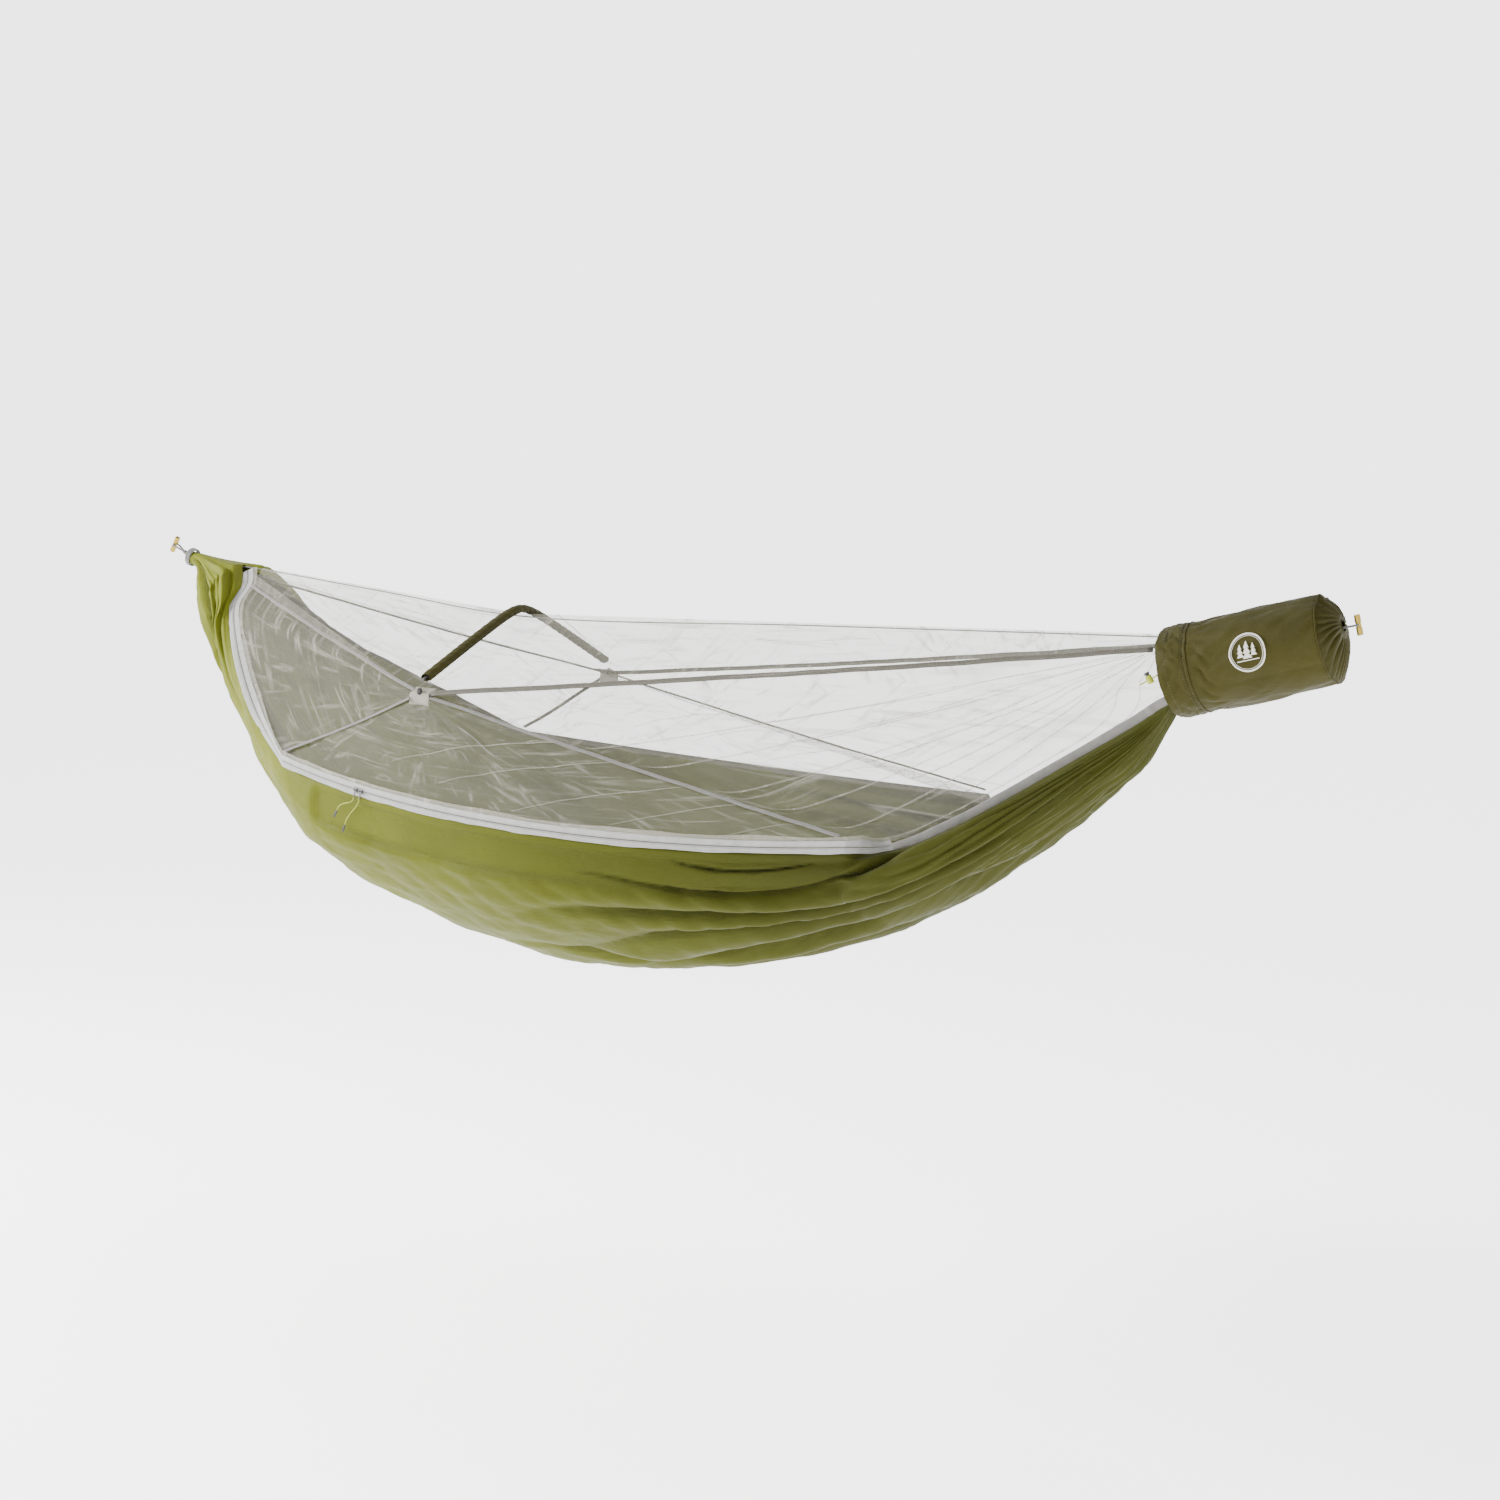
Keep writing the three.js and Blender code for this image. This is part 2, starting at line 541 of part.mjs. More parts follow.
// A toggle bar on a loop of cord: the cord passes through the bar's cross hole, which it tilts on.
function addToggle(name, { centre, exit }) {
  const origin = vec(exit);
  const out = vec(centre).sub(origin);
  const reach = out.length();
  out.normalize();
  const group = new THREE.Group();
  group.matrixAutoUpdate = false;
  const acrossY = new THREE.Vector3(0, 1, 0);
  const bar = out.clone().cross(acrossY).normalize();
  group.matrix.makeBasis(out, acrossY, bar).setPosition(origin);
  object.add(group);
  const spread = TOGGLE_RADIUS + END_CORD_RADIUS + 0.8;
  const strand = [[0, 2.3], [reach - 24, 2.6], [reach - 12, 6.4], [reach - 3.4, spread], [reach - 0.9, spread - 0.9]];
  const route = [...strand.map(([x, y]) => vec([x, y, 0])), vec([reach, spread - 3.4, 0])];
  const back = route.map((p) => vec([p.x, -p.y, 0])).reverse();
  const cordRoute = [...route, ...back];
  add(`${name}_end_cord`, tube(cordRoute, 2 * END_CORD_RADIUS, { count: 30 }), CORD_GREY, group);
  const half = TOGGLE_LENGTH / 2;
  const edge = 1.6;
  const profile = [[0, -half], [TOGGLE_RADIUS - edge, -half], [TOGGLE_RADIUS, edge - half], [TOGGLE_RADIUS, -4.5],
    [4.6, -4], [4.6, 4], [TOGGLE_RADIUS, 4.5], [TOGGLE_RADIUS, half - edge], [TOGGLE_RADIUS - edge, half], [0, half]];
  const round = lathe(profile, 20).rotateX(Math.PI / 2);
  const hole = new THREE.CylinderGeometry(2.35, 2.35, 14, 16);
  const flatDepth = TOGGLE_RADIUS - 1;
  const flats = [-1, 1].map((s) => block([-9, -8, s > 0 ? 6 : -half - 1], [-flatDepth, 8, s > 0 ? half + 1 : -6]));
  const bars = add(`${name}_toggle`, cut(round, hole, ...flats), GOLD, group);
  bars.position.set(reach, 0, 0);
}

// ---- Stuff sack ---------------------------------------------------------------------------------

function addSack() {
  const sack = new THREE.Group();
  sack.position.set(...SACK_MOUTH);
  sack.rotation.y = Math.PI / 2 - SACK_TILT;
  object.add(sack);
  const upright = (geometry) => geometry.rotateX(Math.PI / 2);
  const outline = [[77.6, COLLAR_LENGTH + 0.6], [78.4, 75], [80, 150], [80, 225], [77.5, 268], [75.5, SACK_LENGTH]];
  const inner = outline.map(([r, a]) => [r - SACK_WALL, a]).reverse();
  add('sack_body', upright(lathe([...outline, ...inner, outline[0]], 24)), SACK_OLIVE, sack);
  const hem = [[78.5, 0], [78.5, COLLAR_LENGTH], [77, COLLAR_LENGTH], [77, 1.2], [73.7, 1.2], [73.7, 11], [72.5, 11],
    [72.5, 0], [78.5, 0]];
  const notch = block([-4, -82, -1], [4, -70, 8]);
  add('sack_collar', cut(upright(lathe(hem, 24)), notch), SACK_OLIVE, sack);
  add('sack_end_piping', new THREE.TorusGeometry(76.2, 1.6, 5, 24).translate(0, 0, SACK_LENGTH + 2), SACK_OLIVE, sack);
  const rings = steps(4).map((share) => {
    const radius = THREE.MathUtils.lerp(74.6, CORD_HOLE_RADIUS, share);
    const rise = 24 * Math.sin(share * Math.PI / 2);
    return steps(19, 0, 2 * Math.PI * 19 / 20).map((angle) => new THREE.Vector3(
      radius * Math.cos(angle) - CORD_HOLE_RAISE * share, radius * Math.sin(angle), SACK_LENGTH + 5 + rise));
  });
  add('sack_end_panel', sheet(rings, SACK_WALL, true), SACK_OLIVE, sack);
  const gap = 0.16;
  const drawcord = steps(39, -Math.PI / 2 + gap, 1.5 * Math.PI - gap)
    .map((a) => vec([75 * Math.cos(a), 75 * Math.sin(a), 5.5]));
  add('drawcord', tube(drawcord, 1.8, { count: 40 }), LIME, sack);
}

// The drawcord's two tails leave the collar's notch, pass through the cord lock and end in a loop.
function addCordLock() {
  const exit = vec([2212, -75.3, -94]);
  const along = vec([-0.85, 0, -0.53]).normalize();
  const group = new THREE.Group();
  group.matrixAutoUpdate = false;
  const across = new THREE.Vector3(0, -1, 0);
  group.matrix.makeBasis(along, across, along.clone().cross(across)).setPosition(exit);
  object.add(group);
  const strand = [[1, 1.6], [9, 1.6], [26, 1.6], [31, 2.6], [35, 2.2], [37.3, 0.9]];
  const route = [...strand.map(([x, y]) => vec([x, y, 0])), ...strand.reverse().map(([x, y]) => vec([x, -y, 0]))];
  add('drawcord_tail', tube(route, 2.2, { count: 26 }), LIME, group);
  const barrelX = 17;
  const barrel = lathe([[0, -7], [4.6, -7], [5.5, -6], [5.5, 6.4], [5, 7], [3.9, 7], [3.9, -5.4], [0, -5.4]], 20);
  const slot = block([-8, -3, -1.5], [8, 3, 1.5]);
  add('cord_lock_barrel', cut(barrel.rotateX(Math.PI / 2), slot), LIME, group).position.set(barrelX, 0, 0);
  const plunger = lathe([[0, -2.6], [3.6, -2.6], [3.6, 10.2], [4.6, 10.5], [4.6, 13], [3.8, 13.6], [0, 13.6]], 20);
  const window = block([-8, -3, -1.5], [8, 3, 4.6]);
  add('cord_lock_plunger', cut(plunger.rotateX(Math.PI / 2), window), BLACK, group).position.set(barrelX, 0, 0);
  const turns = 3;
  const coil = steps(24).map((s) => vec([2.4 * Math.cos(2 * Math.PI * turns * s), 2.4 * Math.sin(2 * Math.PI * turns * s),
    -4.9 + 1.7 * s]));
  add('cord_lock_spring', tube(coil, 0.4, { sides: 5, count: 30 }), METAL_GREY, group).position.set(barrelX, 0, 0);
}

// ---- Assembly -----------------------------------------------------------------------------------

addBody();
addRimBindings();
sideNet('near');
sideNet('far');
addFlap();
addTopNet();
addTapes();
addZip();
addPole();
addPatch('near');
addPatch('far');
addToggle('head', HEAD_TOGGLE);
addToggle('foot', FOOT_TOGGLE);
addSack();
addCordLock();

export default object;
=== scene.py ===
"""Looks of a gathered-end camping hammock with a zipped insect net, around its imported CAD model.

Metres. +X runs from the head gather to the foot gather, -Y is the zip side, +Z is up.
"""
import math

import bpy
import numpy as np
from mathutils import Matrix, Vector


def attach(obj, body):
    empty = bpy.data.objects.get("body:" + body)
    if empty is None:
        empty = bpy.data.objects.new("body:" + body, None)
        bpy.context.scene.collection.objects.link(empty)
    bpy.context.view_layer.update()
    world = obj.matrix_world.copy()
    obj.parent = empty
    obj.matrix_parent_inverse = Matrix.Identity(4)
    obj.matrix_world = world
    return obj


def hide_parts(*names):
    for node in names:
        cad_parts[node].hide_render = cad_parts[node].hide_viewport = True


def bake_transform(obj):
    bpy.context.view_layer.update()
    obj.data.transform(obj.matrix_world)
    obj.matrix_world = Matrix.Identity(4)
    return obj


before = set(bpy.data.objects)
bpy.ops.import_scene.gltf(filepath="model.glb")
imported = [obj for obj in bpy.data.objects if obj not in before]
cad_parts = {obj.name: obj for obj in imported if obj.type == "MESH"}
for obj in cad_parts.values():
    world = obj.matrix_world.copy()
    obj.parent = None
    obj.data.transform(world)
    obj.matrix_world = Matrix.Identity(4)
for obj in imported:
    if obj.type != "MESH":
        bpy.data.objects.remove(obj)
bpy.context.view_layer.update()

# ---- Driving dimensions, the same as the CAD part's -----------------------------------------------
TWIST = 0.0485
TWIST_NEUTRAL_X = 1.027
RIM_HEAD = [(.140, 0, -.013), (.182, .050, -.050), (.200, .110, -.095), (.268, .184, -.167),
            (.429, .322, -.276), (.572, .410, -.363)]
RIM_ARC_MIDDLE = (1.150, .480, -.411)
RIM_FOOT = [(1.737, .308, -.404), (1.790, .222, -.408), (1.870, .174, -.368), (1.951, .136, -.317),
            (2.060, .090, -.243), (2.161, .050, -.174), (2.210, .038, -.138), (2.300, .030, -.095),
            (2.400, .022, -.055), (2.462, .012, -.032)]
PATCH = (.841, .333, -.216)
APEX_Z = -.074
POLE_BEND = .040
POLE_LIFT = .010
BODY_DEPTH = [(-.020, -.014, .013), (.020, -.032, .024), (.060, -.090, .062), (.100, -.157, .106),
              (.220, -.290, .184), (.400, -.466, .306), (.600, -.597, .424), (.900, -.700, .476),
              (1.200, -.727, .484), (1.500, -.679, .421), (1.750, -.570, .316), (1.950, -.445, .215),
              (2.100, -.318, .120), (2.160, -.262, .080), (2.205, -.192, .046), (2.226, -.150, .040),
              (2.240, -.140, .038), (2.300, -.122, .036), (2.400, -.078, .030), (2.470, -.046, .018)]
HEAD_SEAM = [(-.020, .010), (.020, .004), (.060, -.003), (.100, -.009), (.139, -.013)]
TAPE_TOP = .012
CHAIN_GAP = .0007
CHAIN = .0024
RIM_CLEARANCE = .015
DOOR_START = .08
DOOR_END = .92
MOUTH_U = 2 + 6.3 / 9
ZIP_END_U = 2 + 1 / 9
TAPE_MOUTH = (2.185, .030, -.055)
RIDGE_MOUTH = (2.190, 0, -.029)
SACK_MOUTH = (2.2135, 0, -.095)
SACK_TILT = math.radians(15.5)
SACK_LENGTH = .284
COLLAR_LENGTH = .055
CORD_HOLE_RAISE = .018
CORD_HOLE_RADIUS = .0095


# ---- Numbers and curves ---------------------------------------------------------------------------

def arr(p):
    return np.array(p, float)


X_AXIS, Y_AXIS = arr((1, 0, 0)), arr((0, 1, 0))


def unit(v):
    return v / np.linalg.norm(v, axis=-1, keepdims=True)


def smoothstep(x, low, high):
    t = np.clip((np.asarray(x, float) - low) / (high - low), 0, 1)
    return t * t * (3 - 2 * t)


def lerp(a, b, t):
    return a + (b - a) * t


def hang(point, side):
    """A point of the untwisted shape, put on one side and twisted as the cloth hangs."""
    x, y, z = point
    return arr((x, side * y, z + TWIST * side * y * (x - TWIST_NEUTRAL_X)))


def curve_at(points, t):
    """A centripetal Catmull-Rom curve through points, at the share t of their number."""
    p = arr(points)
    place = t * (len(p) - 1)
    i = min(int(place), len(p) - 2)
    w = place - i
    before = p[i - 1] if i else 2 * p[0] - p[1]
    after = p[i + 2] if i + 2 < len(p) else 2 * p[-1] - p[-2]
    four = [before, p[i], p[i + 1], after]
    d0, d1, d2 = [np.linalg.norm(b - a) ** .5 for a, b in zip(four, four[1:])]
    x0, x1, x2, x3 = four
    t1 = d1 * ((x1 - x0) / d0 - (x2 - x0) / (d0 + d1) + (x2 - x1) / d1)
    t2 = d1 * ((x2 - x1) / d1 - (x3 - x1) / (d1 + d2) + (x3 - x2) / d2)
    return x1 + t1 * w + (3 * (x2 - x1) - 2 * t1 - t2) * w * w + (2 * (x1 - x2) + t1 + t2) * w ** 3


def smooth_lookup(table, x, column):
    """The value of a table's column at x, on a smooth curve through its rows."""
    rows = arr(table)
    xs, ys = rows[:, 0], rows[:, column]
    slopes = np.gradient(ys, xs)
    i = int(np.clip(np.searchsorted(xs, x) - 1, 0, len(xs) - 2))
    h = xs[i + 1] - xs[i]
    t = min(max((x - xs[i]) / h, 0), 1)
    return ((1 + 2 * t) * (1 - t) ** 2 * ys[i] + t * (1 - t) ** 2 * h * slopes[i]
            + t * t * (3 - 2 * t) * ys[i + 1] + t * t * (t - 1) * h * slopes[i + 1])


def turned(v, axis, angle):
    """v turned about a unit axis."""
    cosine = math.cos(angle)
    return v * cosine + np.cross(axis, v) * math.sin(angle) + axis * (v @ axis) * (1 - cosine)


def bell(x, middle, width):
    """1 at middle, falling smoothly to nearly 0 two widths away."""
    return np.exp(-((x - middle) / width) ** 2)


def joined(*spans):
    """Even steps over each (start, end, count) in turn, without a repeat where two of them meet."""
    steps = [np.linspace(*span) for span in spans]
    return np.concatenate([steps[0]] + [step[1:] for step in steps[1:]])


def run_along(points):
    """The running length at each point of a path."""
    return np.concatenate([[0], np.cumsum(np.linalg.norm(np.diff(arr(points), axis=0), axis=1))])


def ripple(p, q, seed, octaves=4, lacunarity=1.9):
    """Smooth seeded noise from -1 to 1 over two coordinates, at one wave per unit to start with."""
    rng = np.random.default_rng(seed)
    total, scale, weight = 0, 1.0, 1.0
    for _ in range(octaves):
        for _ in range(3):
            angle, phase, bend = rng.uniform(0, 2 * math.pi, 3)
            along = (p * math.cos(angle) + q * math.sin(angle)) * 2 * math.pi * scale
            across = (q * math.cos(angle) - p * math.sin(angle)) * 2 * math.pi * scale
            total = total + weight * np.sin(along + phase + 1.1 * np.sin(.6 * across + bend)) / 3
        scale *= lacunarity
        weight *= .55
    return total


# ---- Rim ------------------------------------------------------------------------------------------

class Rim:
    """One long edge of the opening: u runs 0 to 1 on the head stretch, to 2 on the arc, to 3 at the foot."""

    def __init__(self, side):
        self.head = [hang(p, side) for p in RIM_HEAD]
        self.foot = [hang(p, side) for p in RIM_FOOT]
        self.patch = hang(PATCH, side)
        a, m, b = self.head[-1], hang(RIM_ARC_MIDDLE, side), self.foot[0]
        ab, am = b - a, m - a
        normal = np.cross(ab, am)
        offset = np.cross(am * (ab @ ab) - ab * (am @ am), normal) / (2 * normal @ normal)
        self.centre = a + offset
        self.arm = -offset
        last = b - self.centre
        self.sweep = math.acos(self.arm @ last / (self.arm @ self.arm))
        self.up_axis = unit(normal) * (1 if normal[2] > 0 else -1)
        self.turn = 1 if np.cross(self.arm, last) @ self.up_axis > 0 else -1

    def at(self, u):
        if u <= 1:
            return curve_at(self.head, max(u, 0))
        if u <= 2:
            return self.centre + turned(self.arm, self.up_axis, self.turn * self.sweep * (u - 1))
        return curve_at(self.foot, min(u - 2, 1))

    def up(self, u):
        """Direction across the zip, from the body's edge to the net's edge."""
        tangent = unit(self.at(min(u + .01, 3)) - self.at(max(u - .01, 0)))
        to_patch = unit(self.patch - self.at(u))
        share = smoothstep(u, .75, 1) if u <= 1 else 1 - smoothstep(u, 2, 2.12)
        mixed = lerp(to_patch, self.up_axis, float(share))
        return unit(mixed - (mixed @ tangent) * tangent)

    def raised(self, u, height):
        return self.at(u) + self.up(u) * height


NEAR, FAR = Rim(-1), Rim(1)
RIMS = {"near": NEAR, "far": FAR}
SIDES = {"near": -1, "far": 1}


# ---- Materials ------------------------------------------------------------------------------------

STUDIO_TONE = .70


def srgb(r, g, b):
    """A colour given as 0 to 255 on screen, as linear light with alpha, toned down for the bright studio."""
    linear = [c / 255 / 12.92 if c < 10 else ((c / 255 + .055) / 1.055) ** 2.4 for c in (r, g, b)]
    return (*[STUDIO_TONE * c for c in linear], 1)


class Look:
    """A node material: a Principled shader and short calls that add detail to it."""

    def __init__(self, name, color, roughness, metallic=0.0, sheen=0.0):
        self.mat = bpy.data.materials.new(name)
        self.mat.use_nodes = True
        self.tree = self.mat.node_tree
        self.shader = self.tree.nodes["Principled BSDF"]
        for socket, value in {"Base Color": color, "Roughness": roughness, "Metallic": metallic,
                              "Sheen Weight": sheen, "Sheen Roughness": .4}.items():
            self.shader.inputs[socket].default_value = value
        self.colors = color
        self.bumps = None

    def node(self, kind, **inputs):
        made = self.tree.nodes.new(kind)
        for name, value in inputs.items():
            self.feed(made.inputs[name.replace("_", " ")], value)
        return made

    def feed(self, socket, value):
        if isinstance(value, bpy.types.NodeSocket):
            self.tree.links.new(value, socket)
        else:
            socket.default_value = value

    def math(self, operation, a, b=0.0, c=0.0):
        made = self.tree.nodes.new("ShaderNodeMath")
        made.operation = operation
        for socket, value in zip(made.inputs, (a, b, c)):
            self.feed(socket, value)
        return made.outputs[0]

    def place(self, scale=(1, 1, 1), own=True):
        """Coordinates in metres: the piece's own cloth coordinates, or its place in the frame."""
        if own:
            source = self.tree.nodes.new("ShaderNodeAttribute")
            source.attribute_name = "cloth"
            start = source.outputs["Vector"]
        else:
            start = self.tree.nodes.new("ShaderNodeTexCoord").outputs["Object"]
        return self.node("ShaderNodeMapping", Vector=start, Scale=scale).outputs[0]

    def noise(self, where, scale, detail=4.0, distortion=0.0):
        return self.node("ShaderNodeTexNoise", Vector=where, Scale=scale, Detail=detail,
                         Distortion=distortion).outputs["Fac"]

    def ramp(self, value, low, high, start=0.0, end=1.0):
        made = self.node("ShaderNodeMapRange", Value=value)
        for socket, number in zip(("From Min", "From Max", "To Min", "To Max"), (low, high, start, end)):
            made.inputs[socket].default_value = number
        return made.outputs[0]

    def tint(self, value, color, amount=1.0):
        """Mixes color over the base where value is 1."""
        mix = self.tree.nodes.new("ShaderNodeMix")
        mix.data_type = "RGBA"
        self.feed(mix.inputs[0], self.math("MULTIPLY", value, amount))
        self.feed(mix.inputs[6], self.colors)
        self.feed(mix.inputs[7], color)
        self.colors = mix.outputs[2]
        self.feed(self.shader.inputs["Base Color"], self.colors)

    def bump(self, value, depth, strength=1.0):
        made = self.node("ShaderNodeBump", Height=value, Distance=depth, Strength=strength)
        if self.bumps:
            self.feed(made.inputs["Normal"], self.bumps)
        self.bumps = made.outputs[0]
        self.feed(self.shader.inputs["Normal"], self.bumps)

    def rough(self, value, low, high):
        self.feed(self.shader.inputs["Roughness"], self.ramp(value, 0, 1, low, high))

    def threads(self, where, pitch):
        """A plain weave, 0 to 1, of threads at pitch along the first two coordinates."""
        parts = self.node("ShaderNodeSeparateXYZ", Vector=where)
        factor = 2 * math.pi / pitch
        waves = [self.math("SINE", self.math("MULTIPLY", parts.outputs[i], factor)) for i in (0, 1)]
        return self.ramp(self.math("MULTIPLY", *waves), -1, 1)

    def grid(self, where, pitch, width):
        """1 on the lines of a square grid at pitch, as a ripstop weave has."""
        parts = self.node("ShaderNodeSeparateXYZ", Vector=where)
        lines = []
        for i in (0, 1):
            saw = self.math("PINGPONG", parts.outputs[i], pitch / 2)
            lines.append(self.ramp(saw, 0, width, 1, 0))
        return self.math("MAXIMUM", *lines)


def nylon(name, color, shade, sheen, foot_shade=0.0):
    """Thin ripstop nylon: faint grid, fine weave, slight blotches and soft crinkles, with painted shade in
    its creases and, by foot_shade, towards the foot.
    """
    look = Look(name, color, .55, sheen=sheen)
    own = look.place()
    # Painted shade in the fold valleys, which add_body marks in the third cloth coordinate.
    creases = look.node("ShaderNodeSeparateXYZ", Vector=own).outputs[2]
    painted_shade_color = tuple(c * .35 for c in shade[:3]) + (1,)
    look.tint(creases, painted_shade_color, .75)
    # Painted shade: the cloth gets darker towards the foot along its running length, by foot_shade.
    if foot_shade:
        along = look.node("ShaderNodeSeparateXYZ", Vector=own).outputs[1]
        look.tint(look.ramp(along, .7, 2.0), painted_shade_color, foot_shade)
    look.tint(look.ramp(look.noise(own, 7, 5, .4), .35, .75), shade, .5)
    look.tint(look.grid(own, .006, .0009), shade, .22)
    look.tint(look.threads(own, .0016), shade, .12)
    crinkle = look.noise(look.place((1, .35, 1)), 38, 6, 1.2)
    look.bump(crinkle, .0032, .6)
    look.bump(look.noise(own, 140, 3, .3), .0008, .5)
    look.bump(look.threads(own, .0016), .00012, .6)
    look.rough(crinkle, .58, .76)
    look.shader.inputs["Specular IOR Level"].default_value = .15
    return look.mat


def webbing(name, color, shade, pitch=.0024):
    """Grosgrain tape or zip tape: cross ribs and soft fibre noise."""
    look = Look(name, color, .75, sheen=.05)
    own = look.place()
    look.tint(look.ramp(look.noise(own, 60, 4), .4, .7), shade, .4)
    parts = look.node("ShaderNodeSeparateXYZ", Vector=own)
    ribs = look.math("SINE", look.math("MULTIPLY", parts.outputs[1], 2 * math.pi / pitch))
    look.tint(look.ramp(ribs, -.2, -1), shade, .35)
    look.bump(ribs, .0003, .8)
    return look.mat


def netting(name, cover):
    """Insect netting: mostly open, whiter along its creases and its fine threads."""
    look = Look(name, srgb(186, 183, 168), .9, sheen=.05)
    own = look.place()
    streaks = look.math("MAXIMUM", look.noise(look.place((1, .12, 1)), 42, 5, 1.4),
                        look.noise(look.place((.14, 1, 1)), 36, 5, 1.4))
    creases = look.ramp(streaks, .56, .74)
    mesh = look.threads(own, .0026)
    alpha = look.math("ADD", look.math("MULTIPLY", creases, .36), cover)
    alpha = look.math("ADD", alpha, look.math("MULTIPLY", look.math("SUBTRACT", mesh, .5), .10))
    look.feed(look.shader.inputs["Alpha"], alpha)
    look.bump(streaks, .002, .5)
    return look.mat


def braid(name, color, shade, pitch=.0022):
    """Braided cord: two crossing sets of slanted strands."""
    look = Look(name, color, .7, sheen=.3)
    where = look.place(own=False)
    strands = look.threads(where, pitch)
    look.tint(strands, shade, .5)
    look.bump(strands, .0002, .9)
    look.tint(look.ramp(look.noise(where, 300, 2), .4, .7), shade, .25)
    return look.mat


def metal(name, color, roughness, wear):
    """Coated or anodised metal with fine brushing, mottling and brighter wear."""
    look = Look(name, color, roughness, metallic=1.0)
    where = look.place(own=False)
    look.tint(look.ramp(look.noise(where, 420, 5, .6), .56, .72), wear, .6)
    brush = look.noise(look.place((1, 1, .08), own=False), 2600, 3)
    look.rough(brush, max(roughness - .12, .08), roughness + .18)
    look.bump(brush, .00004, .5)
    return look.mat


def moulded(name, color, roughness=.45):
    """Moulded nylon: faint pebble and slight mottling."""
    look = Look(name, color, roughness)
    where = look.place(own=False)
    pebble = look.noise(where, 1400, 3)
    lighter = tuple(min(1, c * 1.6 + .01) for c in color[:3]) + (1,)
    look.tint(look.ramp(look.noise(where, 260, 4), .45, .75), lighter, .35)
    look.bump(pebble, .00006, .6)
    look.rough(pebble, roughness - .08, roughness + .12)
    return look.mat


def print_ink():
    """White screen print, slightly cracked over the weave."""
    look = Look("print_ink", srgb(214, 212, 198), .7)
    own = look.place(own=False)
    look.tint(look.ramp(look.noise(own, 900, 4), .55, .8), srgb(150, 148, 110), .5)
    look.bump(look.noise(own, 1200, 2), .0001, .6)
    return look.mat


OLIVE, OLIVE_SHADE = srgb(112, 118, 12), srgb(68, 70, 0)
SACK, SACK_SHADE = srgb(58, 54, 0), srgb(38, 34, 0)
MATS = {
    "body_fabric": nylon("body_nylon", OLIVE, OLIVE_SHADE, .02, .88),
    "sack_fabric": nylon("sack_nylon", SACK, SACK_SHADE, .02),
    "net": netting("netting", .21),
    "net_fold": netting("net_fold", .38),
    "tape": webbing("grey_tape", srgb(98, 94, 80), srgb(72, 69, 56)),
    "light_tape": webbing("light_tape", srgb(138, 136, 130), srgb(104, 102, 96)),
    "patch": webbing("patch_cloth", srgb(172, 165, 152), srgb(140, 132, 118)),
    "zip_white": webbing("zip_white", srgb(188, 187, 184), srgb(148, 147, 146), .0012),
    "slider_metal": metal("slider_metal", srgb(120, 120, 120), .35, srgb(215, 215, 215)),
    "lime_cord": braid("lime_cord", srgb(165, 172, 22), srgb(120, 128, 6)),
    "grey_cord": braid("grey_cord", srgb(112, 110, 106), srgb(70, 69, 66)),
    "pole_fibre": moulded("pole_fibre", srgb(70, 70, 68), .35),
    "ferrule": metal("ferrule_metal", srgb(190, 190, 190), .3, srgb(225, 225, 225)),
    "black_plastic": moulded("black_plastic", srgb(46, 46, 44)),
    "toggle_metal": metal("toggle_metal", srgb(178, 152, 70), .32, srgb(228, 210, 150)),
    "spring_steel": metal("spring_steel", srgb(190, 190, 190), .3, srgb(225, 225, 225)),
    "lime_plastic": moulded("lime_plastic", srgb(160, 170, 18)),
    "thread": braid("thread", srgb(66, 64, 14), srgb(46, 44, 8), .001),
    "pale_thread": braid("pale_thread", srgb(158, 156, 150), srgb(122, 120, 114), .001),
    "ink": print_ink(),
}


# ---- Mesh making ----------------------------------------------------------------------------------

def piece(name, points, faces, mat, cloth=None):
    mesh = bpy.data.meshes.new(name)
    mesh.from_pydata([tuple(p) for p in points], [], faces)
    mesh.update()
    mesh.shade_smooth()
    mesh.materials.append(MATS[mat])
    if cloth is not None:
        layer = mesh.attributes.new("cloth", "FLOAT_VECTOR", "POINT")
        layer.data.foreach_set("vector", np.asarray(cloth, np.float32).ravel())
    made = bpy.data.objects.new(name, mesh)
    bpy.context.scene.collection.objects.link(made)
    return made


def grid_faces(m, n, closed=False, start=0):
    """Four-sided faces between m rows of n points, whose numbers begin at start."""
    faces = []
    for row in range(start, start + (m - 1) * n, n):
        for j in range(n if closed else n - 1):
            k = (j + 1) % n
            faces.append((row + j, row + k, row + n + k, row + n + j))
    return faces


def lengths(grid, axis):
    """Running length along an axis of a grid of points, averaged over the other."""
    steps = np.linalg.norm(np.diff(grid, axis=axis), axis=2)
    return np.concatenate([[0], np.cumsum(steps.mean(axis=1 - axis))])


def metric(grid):
    """Cloth coordinates in metres for a grid: across, along, 0."""
    along, across = np.meshgrid(lengths(grid, 0), lengths(grid, 1), indexing="ij")
    return np.stack([across, along, np.zeros_like(along)], 2)


def sheet_piece(name, grid, mat, closed=False, cloth=None):
    """One open surface through a grid of points."""
    m, n = grid.shape[:2]
    cloth = metric(grid) if cloth is None else cloth
    return piece(name, grid.reshape(-1, 3), grid_faces(m, n, closed), mat, cloth.reshape(-1, 3))


def normals_of(grid):
    across, down = np.gradient(grid, axis=1), np.gradient(grid, axis=0)
    return unit(np.cross(across, down) + 1e-12)


def thicken(made, thickness, offset=-1):
    """Gives a sheet its cloth's thickness, on its inner side or, with offset 0, on both."""
    solidify = made.modifiers.new("thickness", "SOLIDIFY")
    solidify.thickness = thickness
    solidify.offset = offset


